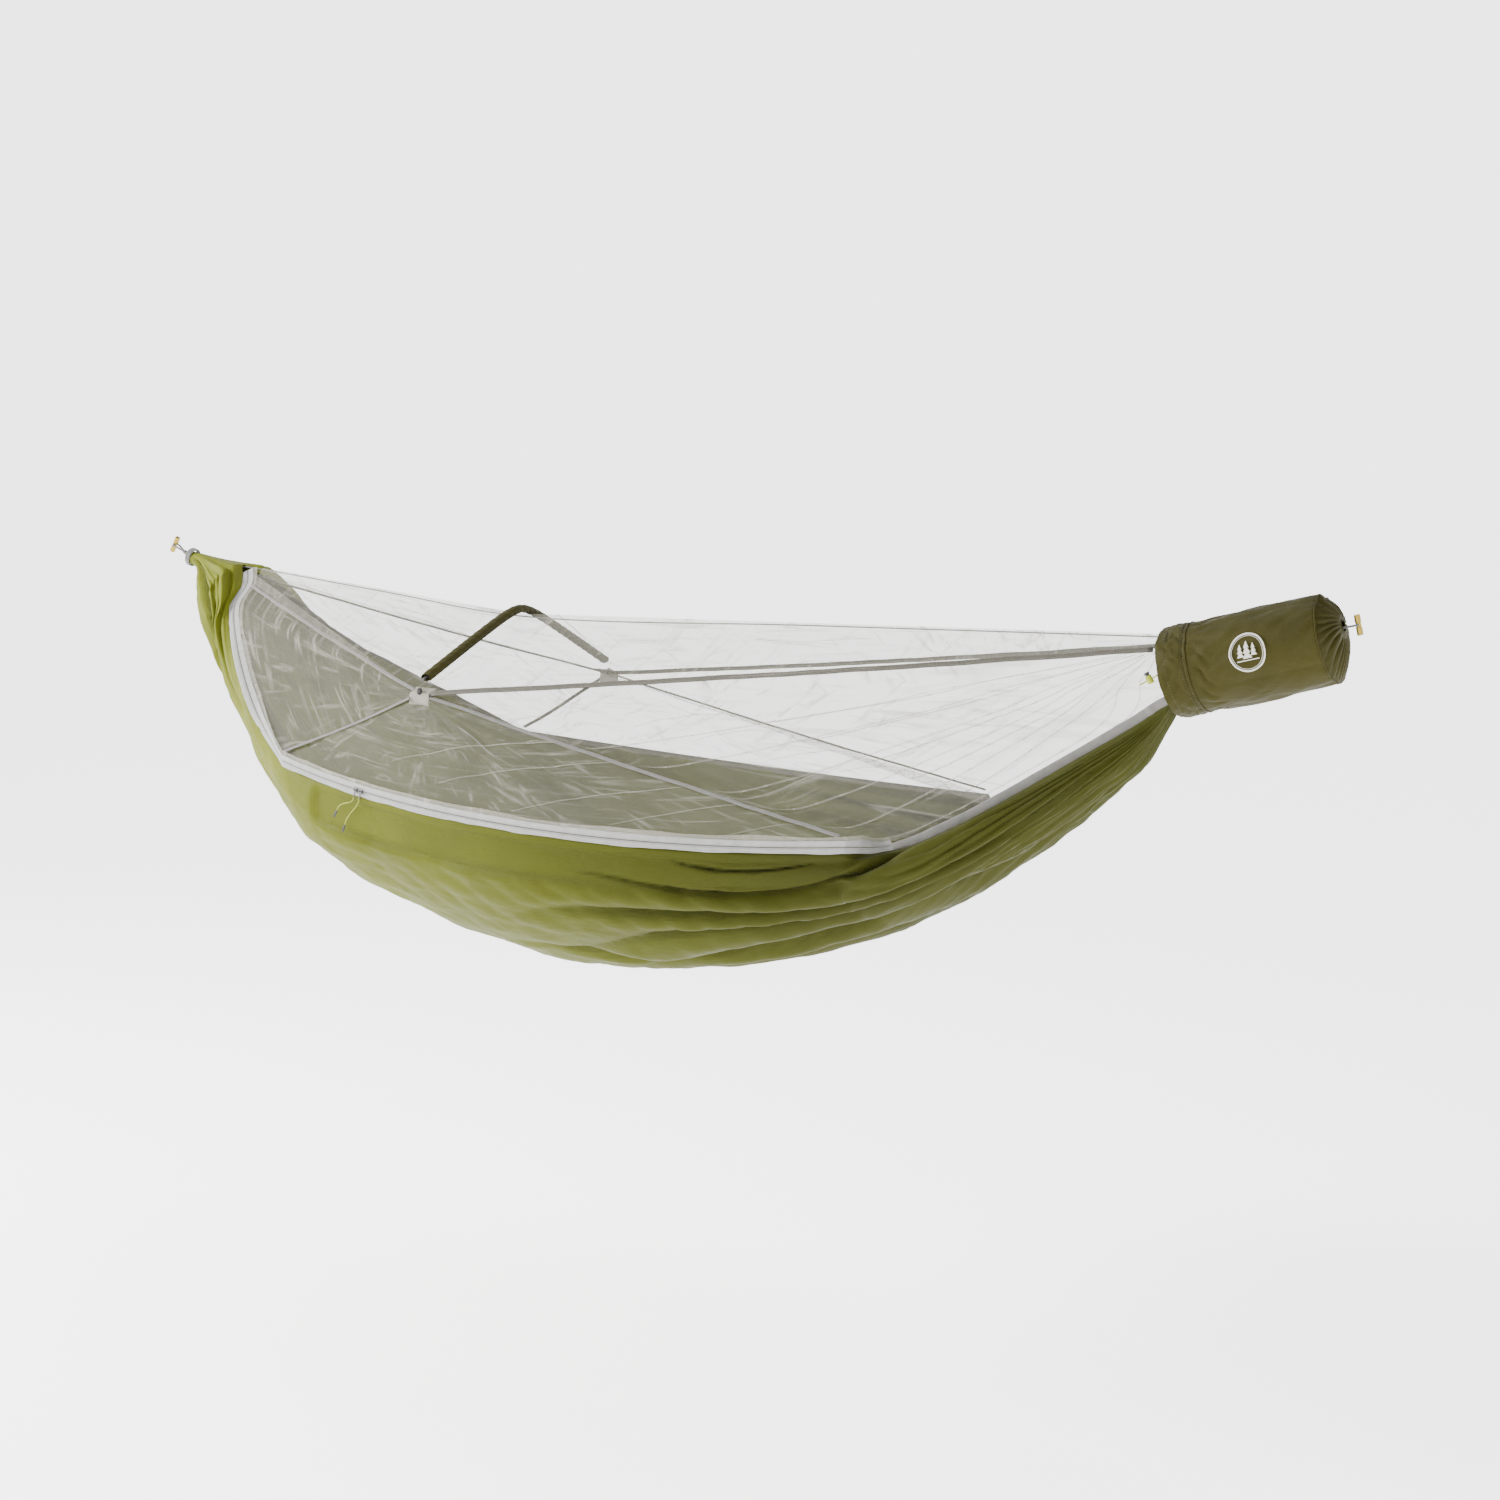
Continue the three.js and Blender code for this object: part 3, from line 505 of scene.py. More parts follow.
def tube_piece(name, points, radius, mat, sides=10, ends=True):
    """A round tube along points; radius may be one number or one for each point."""
    path = arr(points)
    radii = np.broadcast_to(np.asarray(radius, float), (len(path),))
    tangents = unit(np.gradient(path, axis=0))
    side = unit(np.cross(tangents[0], arr((.31, .52, .79))))
    angles = [2 * math.pi * k / sides for k in range(sides)]
    rows, cloth = [], []
    for p, t, r, s in zip(path, tangents, radii, run_along(path)):
        side = unit(side - (side @ t) * t)
        other = np.cross(t, side)
        rows.append([p + r * (math.cos(a) * side + math.sin(a) * other) for a in angles])
        cloth.append([(r * a, s, 0) for a in angles])
    grid = arr(rows)
    faces = grid_faces(len(path), sides, True)
    if ends:
        faces += [tuple(range(sides)), tuple(range(len(path) * sides - 1, (len(path) - 1) * sides - 1, -1))]
    return piece(name, grid.reshape(-1, 3), faces, mat, arr(cloth).reshape(-1, 3))


def dense(points, count):
    """count points on the smooth curve through points."""
    return [curve_at(points, t) for t in np.linspace(0, 1, count)]


def stitches(name, line, normals, mat, body, stitch=.0032, gap=.0018, radius=.00035, lift=.0002):
    """A row of short raised stitches along a line on a cloth."""
    line, normals = arr(line), arr(normals)
    run = run_along(line)
    points, faces = [], []
    for start in np.arange(0, run[-1] - stitch, stitch + gap):
        marks = [start, start + stitch * .5, start + stitch]
        centre = [arr([np.interp(s, run, line[:, i]) for i in range(3)]) for s in marks]
        out = unit(arr([np.interp(marks[1], run, normals[:, i]) for i in range(3)]))
        along = unit(centre[2] - centre[0])
        side = np.cross(along, out)
        base = len(points)
        for c, high, wide in zip(centre, (0, 1, 0), (.5, 1, .5)):
            middle = c + out * (lift + high * radius)
            for a in range(5):
                angle = 2 * math.pi * a / 5
                points.append(middle + radius * wide * (math.cos(angle) * side + math.sin(angle) * out))
        faces += grid_faces(3, 5, True, base)
        faces += [tuple(base + k for k in range(5)), tuple(base + 10 + k for k in reversed(range(5)))]
    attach(piece(name, points, faces, mat), body)


def own(made, body, slot, *nodes):
    """made rides on body and stands for the CAD nodes; slot is not used."""
    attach(made, body)
    if nodes:
        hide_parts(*nodes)
    return made


# ---- Camera, light and floor ----------------------------------------------------------------------

CAMERA_AT = (3.746, -4.309, .305)
CAMERA_YAW, CAMERA_PITCH, CAMERA_ROLL = math.radians(28.84), math.radians(7.05), math.radians(1.7)
CAMERA_LENS = 62.2
FLOOR_Z = -1.5
FLOOR_HALF = 45
HORIZON_LIGHT, ZENITH_LIGHT, FLOOR_GLOW = 3.6, .25, 2.75


def add_camera():
    data = bpy.data.cameras.new("camera")
    data.lens = CAMERA_LENS
    data.sensor_width = 36
    camera = bpy.data.objects.new("camera", data)
    bpy.context.scene.collection.objects.link(camera)
    yaw, pitch, roll = CAMERA_YAW, CAMERA_PITCH, CAMERA_ROLL
    forward = Vector((-math.sin(yaw) * math.cos(pitch), math.cos(yaw) * math.cos(pitch), -math.sin(pitch)))
    level = Vector((math.cos(yaw), math.sin(yaw), 0))
    upright = level.cross(forward)
    right = level * math.cos(roll) + upright * math.sin(roll)
    upward = upright * math.cos(roll) - level * math.sin(roll)
    camera.matrix_world = Matrix((right, upward, -forward)).transposed().to_4x4()
    camera.location = CAMERA_AT
    bpy.context.scene.camera = camera


def add_light(name, at, aim, size, energy):
    data = bpy.data.lights.new(name, "AREA")
    data.shape = "DISK"
    data.size = size
    data.energy = energy
    lamp = bpy.data.objects.new(name, data)
    bpy.context.scene.collection.objects.link(lamp)
    lamp.location = at
    lamp.rotation_euler = (Vector(aim) - Vector(at)).to_track_quat("-Z", "Y").to_euler()


def add_studio():
    world = bpy.data.worlds.new("studio")
    bpy.context.scene.world = world
    world.use_nodes = True
    tree = world.node_tree
    direction = tree.nodes.new("ShaderNodeSeparateXYZ")
    tree.links.new(tree.nodes.new("ShaderNodeTexCoord").outputs["Generated"], direction.inputs[0])
    height = tree.nodes.new("ShaderNodeMapRange")
    height.interpolation_type = "SMOOTHSTEP"
    for socket, value in {"From Min": .16, "From Max": .62,
                          "To Min": HORIZON_LIGHT, "To Max": ZENITH_LIGHT}.items():
        height.inputs[socket].default_value = value
    tree.links.new(direction.outputs["Z"], height.inputs["Value"])
    tree.links.new(height.outputs[0], tree.nodes["Background"].inputs["Strength"])
    tree.nodes["Background"].inputs["Color"].default_value = (1, 1, 1, 1)
    add_light("key", (-2.6, -1.9, 1.7), (.5, -.3, -.4), 1.2, 520)
    add_light("top", (.8, .6, 3.2), (1.1, 0, -.3), 2.2, 90)
    mesh = bpy.data.meshes.new("floor")
    corners = [(FLOOR_HALF * a, FLOOR_HALF * b, FLOOR_Z) for a, b in ((-1, -1), (1, -1), (1, 1), (-1, 1))]
    mesh.from_pydata(corners, [], [(0, 1, 2, 3)])
    floor = bpy.data.objects.new("floor", mesh)
    bpy.context.scene.collection.objects.link(floor)
    look = Look("floor_white", (.93, .93, .93, 1), .9)
    look.shader.inputs["Emission Color"].default_value = (1, 1, 1, 1)
    look.shader.inputs["Emission Strength"].default_value = FLOOR_GLOW
    floor.data.materials.append(look.mat)


# ---- Cords ----------------------------------------------------------------------------------------

def zip_frame(x):
    """Origin, along, inward and across directions of the zip where its arc passes x."""
    low, high = 1.0, 2.0
    for _ in range(40):
        middle = (low + high) / 2
        low, high = (middle, high) if NEAR.at(middle)[0] < x else (low, middle)
    along = unit(NEAR.at(low + .002) - NEAR.at(low - .002))
    across = NEAR.up(low)
    return NEAR.at(low), along, unit(np.cross(across, along)), across


SLIDERS = {"head": .793, "foot": .807}
PULL_CORDS = {
    "head": [(-.0004, -.0086, -.0163), (-.003, -.0102, -.020), (-.009, -.012, -.024), (-.018, -.014, -.027),
             (-.027, -.016, -.031), (-.034, -.018, -.037), (-.038, -.020, -.045)],
    "foot": [(-.0003, -.0088, -.0164), (-.001, -.012, -.022), (-.004, -.016, -.029), (-.009, -.020, -.036),
             (-.014, -.024, -.044), (-.018, -.028, -.053), (-.020, -.031, -.062)],
}
CORD_RADIUS = .001


def cord_curve(name, points, radius, mat):
    data = bpy.data.curves.new(name, "CURVE")
    data.dimensions = "3D"
    data.bevel_depth = radius
    data.bevel_resolution = 3
    data.use_fill_caps = True
    spline = data.splines.new("POLY")
    spline.points.add(len(points) - 1)
    for knot, p in zip(spline.points, points):
        knot.co = (*p, 1)
    data.materials.append(MATS[mat])
    made = bpy.data.objects.new(name, data)
    bpy.context.scene.collection.objects.link(made)
    return made


def add_pull_cords():
    for name, x in SLIDERS.items():
        origin, along, inward, across = zip_frame(x)
        route = [origin + along * a + inward * b + across * c for a, b, c in PULL_CORDS[name]]
        points = dense(route, 24)
        cord = cord_curve(f"pull_cord_{name}_braid", points, CORD_RADIUS, "lime_cord")
        own(cord, f"pull_{name}", "lime_cord", f"pull_cord_{name}")
        # A short loop of the same cord through the tab's slot.
        top = origin + across * -.0125 + inward * -.0078
        loop = [points[0], points[0] + inward * -.0014 + across * .0012, top + inward * -.0016,
                top + across * .0012, top + inward * .0016, points[0] + inward * .0012 + across * .0012,
                points[0]]
        tie = cord_curve(f"pull_loop_{name}", dense(loop, 22), CORD_RADIUS * .7, "lime_cord")
        own(tie, f"pull_{name}", "lime_cord")


LOCK_AT = (2.212, -.0753, -.094)
LOCK_ALONG = (-.85, 0, -.53)


def add_drawcord():
    """The drawcord's ring in the sack's mouth, and the loop of its two tails from the cord lock."""
    origin, along, across = arr(LOCK_AT), unit(arr(LOCK_ALONG)), -Y_AXIS
    strand = [(.001, .0016), (.009, .0016), (.026, .0016), (.031, .0026), (.035, .0022), (.0373, .0009)]
    route = [origin + along * a + across * b for a, b in strand]
    route += [origin + along * a - across * b for a, b in reversed(strand)]
    points = dense(route, 36)
    tail = cord_curve("drawcord_tail_braid", points, .0011, "lime_cord")
    own(tail, "sack", "lime_cord", "drawcord_tail")
    lock_gap = .16
    angles = np.linspace(-math.pi / 2 + lock_gap, 1.5 * math.pi - lock_gap, 90)
    ring = [sack_point(a, .0055, .075) for a in angles]
    own(cord_curve("drawcord_braid", ring, .0009, "lime_cord"), "sack", "lime_cord", "drawcord")


TOGGLE_RADIUS = .0055
END_CORD_RADIUS = .002
END_CORD_SLACK = .0008


def add_end_cords():
    """Each end loop: two strands from the gather round the toggle, with a whipping over them."""
    for name, centre, leave in (("head", (-.060, 0, .022), (-.022, 0, .0014)),
                                ("foot", (2.535, 0, .0085), (2.476, 0, -.006))):
        origin = arr(leave)
        out = arr(centre) - origin
        reach = float(np.linalg.norm(out))
        out = out / reach
        spread = TOGGLE_RADIUS + END_CORD_RADIUS + END_CORD_SLACK
        strand = [(-.012, .0022), (0, .0023), (reach - .024, .0026), (reach - .012, .0064),
                  (reach - .0034, spread), (reach - .0009, spread - .0009), (reach, spread - .0034)]
        route = [origin + out * a + Y_AXIS * b for a, b in strand]
        route += [origin + out * a - Y_AXIS * b for a, b in reversed(strand)]
        cord = tube_piece(f"{name}_end_loop", dense(route, 90), .0019, "grey_cord", 12)
        own(cord, "hammock", "grey_cord", f"{name}_end_cord")
        up = np.cross(out, Y_AXIS)
        turns = 7
        wrap = []
        for k in np.linspace(0, 1, turns * 18):
            a = 2 * math.pi * turns * k
            base = origin + out * (.003 + .010 * k)
            wrap.append(base + Y_AXIS * math.cos(a) * .0052 + up * math.sin(a) * .0031)
        own(tube_piece(f"{name}_loop_whipping", wrap, .0008, "grey_cord", 8), "hammock", "grey_cord")


def add_ridgeline():
    """Thin cord under the top net, from gather to gather."""
    def ridge(x):
        return ridge_at(x) - arr((0, 0, .005))
    route = [arr((.006, 0, -.013)), ridge(.130), ridge(.500), ridge(.841), ridge(1.500), ridge(2.190),
             arr((2.440, 0, -.027))]
    points = dense(route, 60)
    own(tube_piece("ridgeline_cord", points, .0013, "grey_cord", 8), "hammock", "grey_cord", "ridgeline")


# ---- Hammock body ---------------------------------------------------------------------------------

HALF_COLUMNS = 84
BODY_EDGE = -.0115
TUCK_DEPTH = .070
CREASE_DEPTH = .022
DRAG_PITCH, DRAG_DEPTH = .085, .0052
PUCKER_PITCH, PUCKER_DEPTH = .028, .0009
HOLLOW_DEPTH, CRINKLE_DEPTH = .0085, .0016


def half_section(edge, side, middle_x, count):
    """Half of a hanging cross-section, from the bottom to one edge."""
    bottom = smooth_lookup(BODY_DEPTH, middle_x, 1)
    half = max(smooth_lookup(BODY_DEPTH, middle_x, 2), abs(edge[1]) + .003)
    last = math.pi - math.asin(min(1, abs(edge[1]) / half))
    rise = (edge[2] - bottom) / (1 - math.cos(last))
    share = np.linspace(0, 1, count + 1)
    angle = share * last
    x = lerp(middle_x, edge[0], share)
    return np.stack([x, side * half * np.sin(angle), bottom + rise * (1 - np.cos(angle))], 1)


def body_row(near, far):
    middle_x = (near[0] + far[0]) / 2
    left = half_section(near, -1, middle_x, HALF_COLUMNS)[::-1]
    return np.concatenate([left, half_section(far, 1, middle_x, HALF_COLUMNS)[1:]])


def body_base():
    """The smooth hanging shape as a grid, with rows from the head gather to the foot gather."""
    gap = .0012
    rows = []
    seam = arr(HEAD_SEAM)
    for x in np.linspace(-.020, .130, 26):
        z = np.interp(x, seam[:, 0], seam[:, 1])
        rows.append(body_row(arr((x, -gap, z)), arr((x, gap, z))))
    for u in joined((0, 1, 90), (1, 2, 150), (2, 3, 120))[1:]:
        near, far = NEAR.raised(u, BODY_EDGE), FAR.raised(u, -.004)
        near[1], far[1] = min(near[1], -gap), max(far[1], gap)
        rows.append(body_row(near, far))
    return arr(rows)


def pleat(phase):
    """Gathered cloth's profile: broad round ridges between narrow creases."""
    return np.abs(np.sin(phase)) ** .75 - .66


def body_folds(grid):
    """How far each point of the body stands out along its normal."""
    m, n = grid.shape[:2]
    s = np.broadcast_to(np.linspace(-1, 1, n), (m, n))
    x = grid[:, :, 0]
    middle = np.broadcast_to(x[:, n // 2][:, None], (m, n))
    width = np.linalg.norm(np.diff(grid, axis=1), axis=2).sum(axis=1)[:, None]
    edge = 1 - np.abs(s)
    quiet = smoothstep(edge * width / 2, .004, .05)
    wander = ripple(middle * 1.1, s * .8, 3, 3)
    # Fine pleats that fan out of each gather, and fewer long folds that carry on into the cloth.
    head = 1 - smoothstep(middle, .06, .50)
    foot = smoothstep(middle, 1.62, 2.22)
    fine = pleat(math.pi * (19 * s + 1.3 * wander + .8 * np.sin(5 * s)))
    coarse = pleat(math.pi * (7.3 * s + 1.1 * wander + .9 * np.sin(3.1 * s + 1)))
    out = fine * width / 38 * .55 * head ** 1.3 * quiet
    out = out + coarse * width / 15 * .38 * (1 - smoothstep(middle, .10, .62)) * quiet
    out = out + fine * width / 38 * .80 * foot ** 1.2 * quiet
    long_folds = pleat(math.pi * (5.4 * s + 1.2 * ripple(middle * .9, s, 11, 2) + .4))
    out = out + long_folds * width / 11 * .62 * smoothstep(middle, 1.0, 1.95) * (1 - .5 * foot) * quiet
    # One deep tuck down the near head side, between two tight panels of the cloth.
    tuck = bell(s, -.60 + .12 * smoothstep(middle, .02, .45), .085)
    out = out - tuck * TUCK_DEPTH * smoothstep(middle, .0, .10) * (1 - smoothstep(middle, .32, .68))
    # Drag lines that run down from the zip's hem towards the foot, and short puckers along the hem.
    run = lengths(grid, 0)[:, None]
    across = edge * width / 2
    slant = run - across * 1.25
    drag = pleat(math.pi * slant / DRAG_PITCH + 2.2 * ripple(run * 1.4, across * 2.1, 23, 2))
    along = smoothstep(middle, .55, .8) * (1 - smoothstep(middle, 1.55, 1.85))
    fade = smoothstep(across, .006, .05) * (1 - smoothstep(across, .16, .42))
    out = out + drag * DRAG_DEPTH * along * fade * (.55 + .45 * ripple(run * 1.7, across * 1.1, 31, 2))
    beat = 2 * math.pi * run / PUCKER_PITCH + 3 * ripple(run * 6, across * 4, 41, 2)
    pucker = smoothstep(across, .003, .012) * np.sin(beat)
    out = out + pucker * PUCKER_DEPTH * along * bell(across, .018, .018)
    # Soft hollows all over, longer along the hammock than across it.
    calm = smoothstep(across, .005, .10)
    hollows = ripple(run * 1.05, across * 2.6, 51, 3) * calm
    out = out + HOLLOW_DEPTH * hollows * (1 - head * .5) * (1 - foot * .7)
    out = out + CRINKLE_DEPTH * ripple(run * 7, across * 15, 61, 3) * calm
    # A long crease low on the near side, from under the middle to the foot.
    crease = bell(s, -.43 + .16 * smoothstep(middle, 1.0, 2.0), .020)
    out = out - crease * CREASE_DEPTH * smoothstep(middle, 1.0, 1.35) * (1 - smoothstep(middle, 2.0, 2.2))
    # The near side stays behind the sliders' pulls, all along their travel.
    beyond = smoothstep(across, .10, .20) + smoothstep(np.abs(middle - 1.21), .52, .62) + (s > 0)
    return np.minimum(out, .080 * beyond - .008 * smoothstep(across, 0, .03))


def limit_at_mouth(grid):
    """Keeps the bunched cloth inside the sack's mouth."""
    local = grid - arr(SACK_MOUTH)
    depth = local @ SACK_AXIS
    radial = local - depth[..., None] * SACK_AXIS
    size = np.linalg.norm(radial, axis=2)
    most = np.where(depth < -.06, 10, lerp(.17, .0665, smoothstep(depth, -.06, -.002)))
    scale = np.where(size > most, most / np.maximum(size, 1e-9), 1)
    return arr(SACK_MOUTH) + depth[..., None] * SACK_AXIS + radial * scale[..., None]


def add_body():
    base = body_base()
    normal = normals_of(base)
    outward = np.sign(normal[:, base.shape[1] // 2, 2].mean()) * -1
    folds = body_folds(base)
    grid = limit_at_mouth(base + normal * outward * folds[..., None])
    cloth = metric(grid)
    # The third cloth coordinate marks the fold valleys, for the painted shade that body_nylon puts in the
    # creases.
    depth = np.sqrt((folds ** 2).mean(axis=1, keepdims=True))
    cloth[..., 2] = smoothstep(-folds / (depth + .004), .35, 1.9) * np.clip(depth / .010, 0, 1)
    made = sheet_piece("hammock_cloth", grid, "body_fabric", cloth=cloth)
    thicken(made, .0008, 0)
    own(made, "hammock", "body_fabric", "hammock_body")


def add_gather_bindings():
    """Whipping cord wound round each gather."""
    for name, centre, radius, direction in (("head", (-.010, 0, -.003), .0178, (.95, 0, -.3)),
                                            ("foot", (2.452, 0, -.034), .0250, (.93, 0, .35))):
        axis = unit(arr(direction))
        other = np.cross(axis, Y_AXIS)
        turns = 5
        wound = []
        for k in np.linspace(0, 1, turns * 40):
            a = 2 * math.pi * turns * k
            wobble = 1 + .02 * math.sin(3 * a + 2 * k)
            wound.append(arr(centre) + axis * (.011 * (k - .5)) + radius * wobble
                         * (math.cos(a) * Y_AXIS + math.sin(a) * other))
        made = tube_piece(f"{name}_whipping", wound, .0018, "grey_cord", 8)
        own(made, "hammock", "sack_fabric", f"{name}_gather_binding")


# ---- Bands along the rim --------------------------------------------------------------------------

def rim_band(rim, us, heights, bulges):
    """A grid that follows the rim at several heights across it, pushed outwards by bulges."""
    rows = []
    for u, bulge in zip(us, bulges):
        along = unit(rim.at(min(u + .004, 3)) - rim.at(max(u - .004, 0)))
        out = np.cross(along, rim.up(u)) * (1 if rim is NEAR else -1)
        rows.append([rim.raised(u, height) + out * push for height, push in zip(heights, bulge)])
    return arr(rows)


def waves(us, pitch, depth, seed):
    """Small wanderings of a sewn band, one number for each u."""
    run = us * 1.2
    return depth * ripple(run / pitch / 4, run * 0 + .3, seed, 3)


def add_rim_bindings():
    for name, rim, us, low, high in (
            ("far", FAR, np.linspace(.12, MOUTH_U, 420), -.006, .006),
            ("near", NEAR, np.linspace(ZIP_END_U - .006, MOUTH_U, 120), -.0135, .0045)):
        heights = np.linspace(low, high, 7)
        profile = .0012 * (1 - ((heights - (low + high) / 2) / ((high - low) / 2)) ** 2)
        grid = rim_band(rim, us, heights, profile + waves(us, .03, .0022, 71)[:, None])
        made = sheet_piece(f"{name}_rim_tape", grid, "light_tape" if name == "near" else "tape")
        thicken(made, .0008)
        own(made, "hammock", "tape", f"{name}_rim_binding")
        face = normals_of(grid) * -1
        for k, column in (("low", 1), ("high", 5)):
            stitches(f"{name}_rim_stitch_{k}", grid[:, column], face[:, column], "pale_thread", "hammock")


ZIP_US = joined((.06, 1, 150), (1, 2, 330), (2, ZIP_END_U, 40))
TOOTH_PITCH = .0030
HINGE_AT = NEAR.raised(1 + DOOR_START, TAPE_TOP)
HINGE_LINE = unit(NEAR.raised(1 + DOOR_END, TAPE_TOP) - HINGE_AT)


def hinge_out():
    reach = NEAR.raised(1.5, TAPE_TOP) - HINGE_AT
    return unit(reach - (reach @ HINGE_LINE) * HINGE_LINE)


def blend_flap(made):
    """Bakes made's placement into its mesh; the hinge direction it works out is not used."""
    out = hinge_out()
    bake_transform(made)


def own_net(made, opens, slot, *nodes):
    """As own, but a piece that opens only gets its placement baked and rides on no body; any other rides on
    the hammock.
    """
    if opens:
        blend_flap(made)
    else:
        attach(made, "hammock")
    if nodes:
        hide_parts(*nodes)


def zip_band(name, low, high, seed, opens, *nodes):
    """One side of the zip's tape, straight by the teeth and a little wavy at its sewn edge."""
    heights = np.linspace(low, high, 6)
    outer = heights[-1] if abs(heights[-1]) > abs(heights[0]) else heights[0]
    fringe = np.abs(heights / outer) ** 3
    grid = rim_band(NEAR, ZIP_US, heights, fringe * waves(ZIP_US, .045, .0009, seed)[:, None])
    made = sheet_piece(name, grid, "zip_white")
    thicken(made, .0007)
    own_net(made, opens, "zip_white", *nodes)
    return grid


def add_coil(name, low, high, opens, *nodes):
    """One row of coil teeth: a rounded cord with a bulge for each tooth."""
    middle, half = (low + high) / 2, (high - low) / 2
    run = run_along([NEAR.raised(u, middle) for u in ZIP_US])
    marks = np.linspace(0, run[-1], int(run[-1] / TOOTH_PITCH * 4))
    points = [NEAR.raised(u, middle) for u in np.interp(marks, run, ZIP_US)]
    radius = half * (.86 + .20 * np.sin(2 * math.pi * marks / TOOTH_PITCH))
    made = tube_piece(name, points, radius, "zip_white", 6)
    own_net(made, opens, "zip_white", *nodes)


def add_zip():
    chain = CHAIN_GAP + CHAIN
    lower = zip_band("zip_tape_lower", -TAPE_TOP - .001, -chain * .9, 81, False, "zip_lower_tape")
    zip_band("zip_tape_upper", chain * .9, TAPE_TOP + .001, 83, True,
             "zip_upper_tape_head", "zip_upper_tape_flap", "zip_upper_tape_foot")
    add_coil("zip_coil_lower", -chain, -CHAIN_GAP * .6, False, "zip_lower_chain")
    add_coil("zip_coil_upper", CHAIN_GAP * .6, chain, True,
             "zip_upper_chain_head", "zip_upper_chain_flap", "zip_upper_chain_foot")
    sewn, free = .0105, .021
    rows = [[NEAR.raised(u, h + (h - sewn) * wave * 60) for h in np.linspace(sewn, free, 4)]
            for u, wave in zip(ZIP_US, waves(ZIP_US, .06, .003, 87))]
    hem = sheet_piece("net_hem", arr(rows), "net_fold")
    own_net(hem, True, "net")
    face = normals_of(lower) * -1
    stitches("zip_stitch_lower", lower[:, 2], face[:, 2], "pale_thread", "hammock", lift=.0005)


# ---- Net ------------------------------------------------------------------------------------------

NET_COLUMNS = 70
NET_CROWDING = .85
NET_SLACK = .0035
FOLD_ENDS = ((.72, .97), (.64, .95), (.56, .92), (.48, .90), (.42, .74), (.36, .60))


def net_edge(name, u):
    """Where a side net is sewn on: over the zip's tape, or low on the rim's binding."""
    past_zip = float(smoothstep(u, ZIP_END_U, ZIP_END_U + .05))
    return RIMS[name].raised(u, lerp(.010, .003, past_zip) if name == "near" else .004)


def side_net_grid(name):
    """The fan of net between the pole's patch and the rim, ending at the sack's mouth."""
    patch = RIMS[name].patch
    targets = [net_edge(name, u) for u in joined((.10, 1, 80), (1, 2, 150), (2, MOUTH_U, 70))]
    mouth = hang(TAPE_MOUTH, SIDES[name])
    targets += [lerp(targets[-1], mouth, t) for t in np.linspace(0, 1, 24)[1:]]
    share = np.linspace(0, 1, NET_COLUMNS)[:, None] ** NET_CROWDING
    return arr([lerp(patch, t, .020 / np.linalg.norm(t - patch) * (1 - share) + share) for t in targets])


def net_ripples(grid, seed):
    """Slack netting: tension lines that fan from the patch and small puckers at the sewn edge."""
    m, n = grid.shape[:2]
    across = np.broadcast_to(np.linspace(0, 1, n), (m, n))
    run = lengths(grid, 0)[:, None]
    fan = pleat(math.pi * run / .11 + 2.0 * ripple(run * 1.3, across * .8, seed, 2))
    hold = np.sin(math.pi * np.clip(across, 0, 1)) ** .8
    soft = ripple(run * 2.2, across * 1.7, seed + 1, 3)
    beat = 2 * math.pi * run / .024 + 3 * ripple(run * 5, across, seed + 2, 2)
    return NET_SLACK * (fan + soft) * hold + .0014 * np.sin(beat) * bell(across, 1, .05)


def net_folds(name, grid, normal):
    """Thin doubled folds of slack net that run straight from the sack's mouth out over the side net."""
    rows, columns = grid.shape[:2]
    start = grid[-1, -1]
    for k, (row_share, column_share) in enumerate(FOLD_ENDS):
        first, column = int(rows * row_share), int(columns * column_share)
        wall = np.cross(grid[first, column] - start, normal[first, column])
        line, out = [], []
        for row, facing in zip(grid[first:-2], normal[first:-2]):
            low, high = (row[0] - start) @ wall, (row[-1] - start) @ wall
            share = np.clip(low / (low - high), 0, .985)
            place = share ** (1 / NET_CROWDING) * (columns - 1)
            i = min(int(place), columns - 2)
            line.append(lerp(row[i], row[i + 1], place - i))
            out.append(facing[i])
        line, out = arr(line), unit(arr(out))
        for _ in range(12):
            line[1:-1] = (line[:-2] + line[1:-1] * 2 + line[2:]) / 4
        side = unit(np.cross(np.gradient(line, axis=0), out))
        half = (.0009 + .0008 * np.sin(np.linspace(0, math.pi, len(line))))[:, None]
        strip = np.stack([line + out * .0012 + side * half * w for w in (-1, 0, 1)], 1)
        own_net(sheet_piece(f"{name}_net_fold_{k}", strip, "net_fold"), name == "near", "net")


def add_side_nets():
    for name, nodes in (("near", ("near_side_net", "net_flap")), ("far", ("far_side_net",))):
        grid = side_net_grid(name)
        normal = normals_of(grid)
        cloth = metric(grid)
        grid = grid + normal * net_ripples(grid, 91)[..., None]
        made = sheet_piece(f"{name}_net", grid, "net", cloth=cloth)
        own_net(made, name == "near", "net", *nodes)
        net_folds(name, grid, normal)


def ridge_at(x):
    """The middle line of the top net: up to the pole's apex and on to the sack's mouth."""
    apex = (PATCH[0], 0, APEX_Z)
    a, b = ((0, 0, 0), apex) if x < PATCH[0] else (apex, RIDGE_MOUTH)
    return lerp(arr(a), arr(b), (x - a[0]) / (b[0] - a[0]))


def tape_at(x, side):
    """The seam between the top net and a side net, by way of the pole's patch."""
    a, b = (RIM_HEAD[1], PATCH) if x < PATCH[0] else (PATCH, TAPE_MOUTH)
    return lerp(hang(a, side), hang(b, side), (x - a[0]) / (b[0] - a[0]))


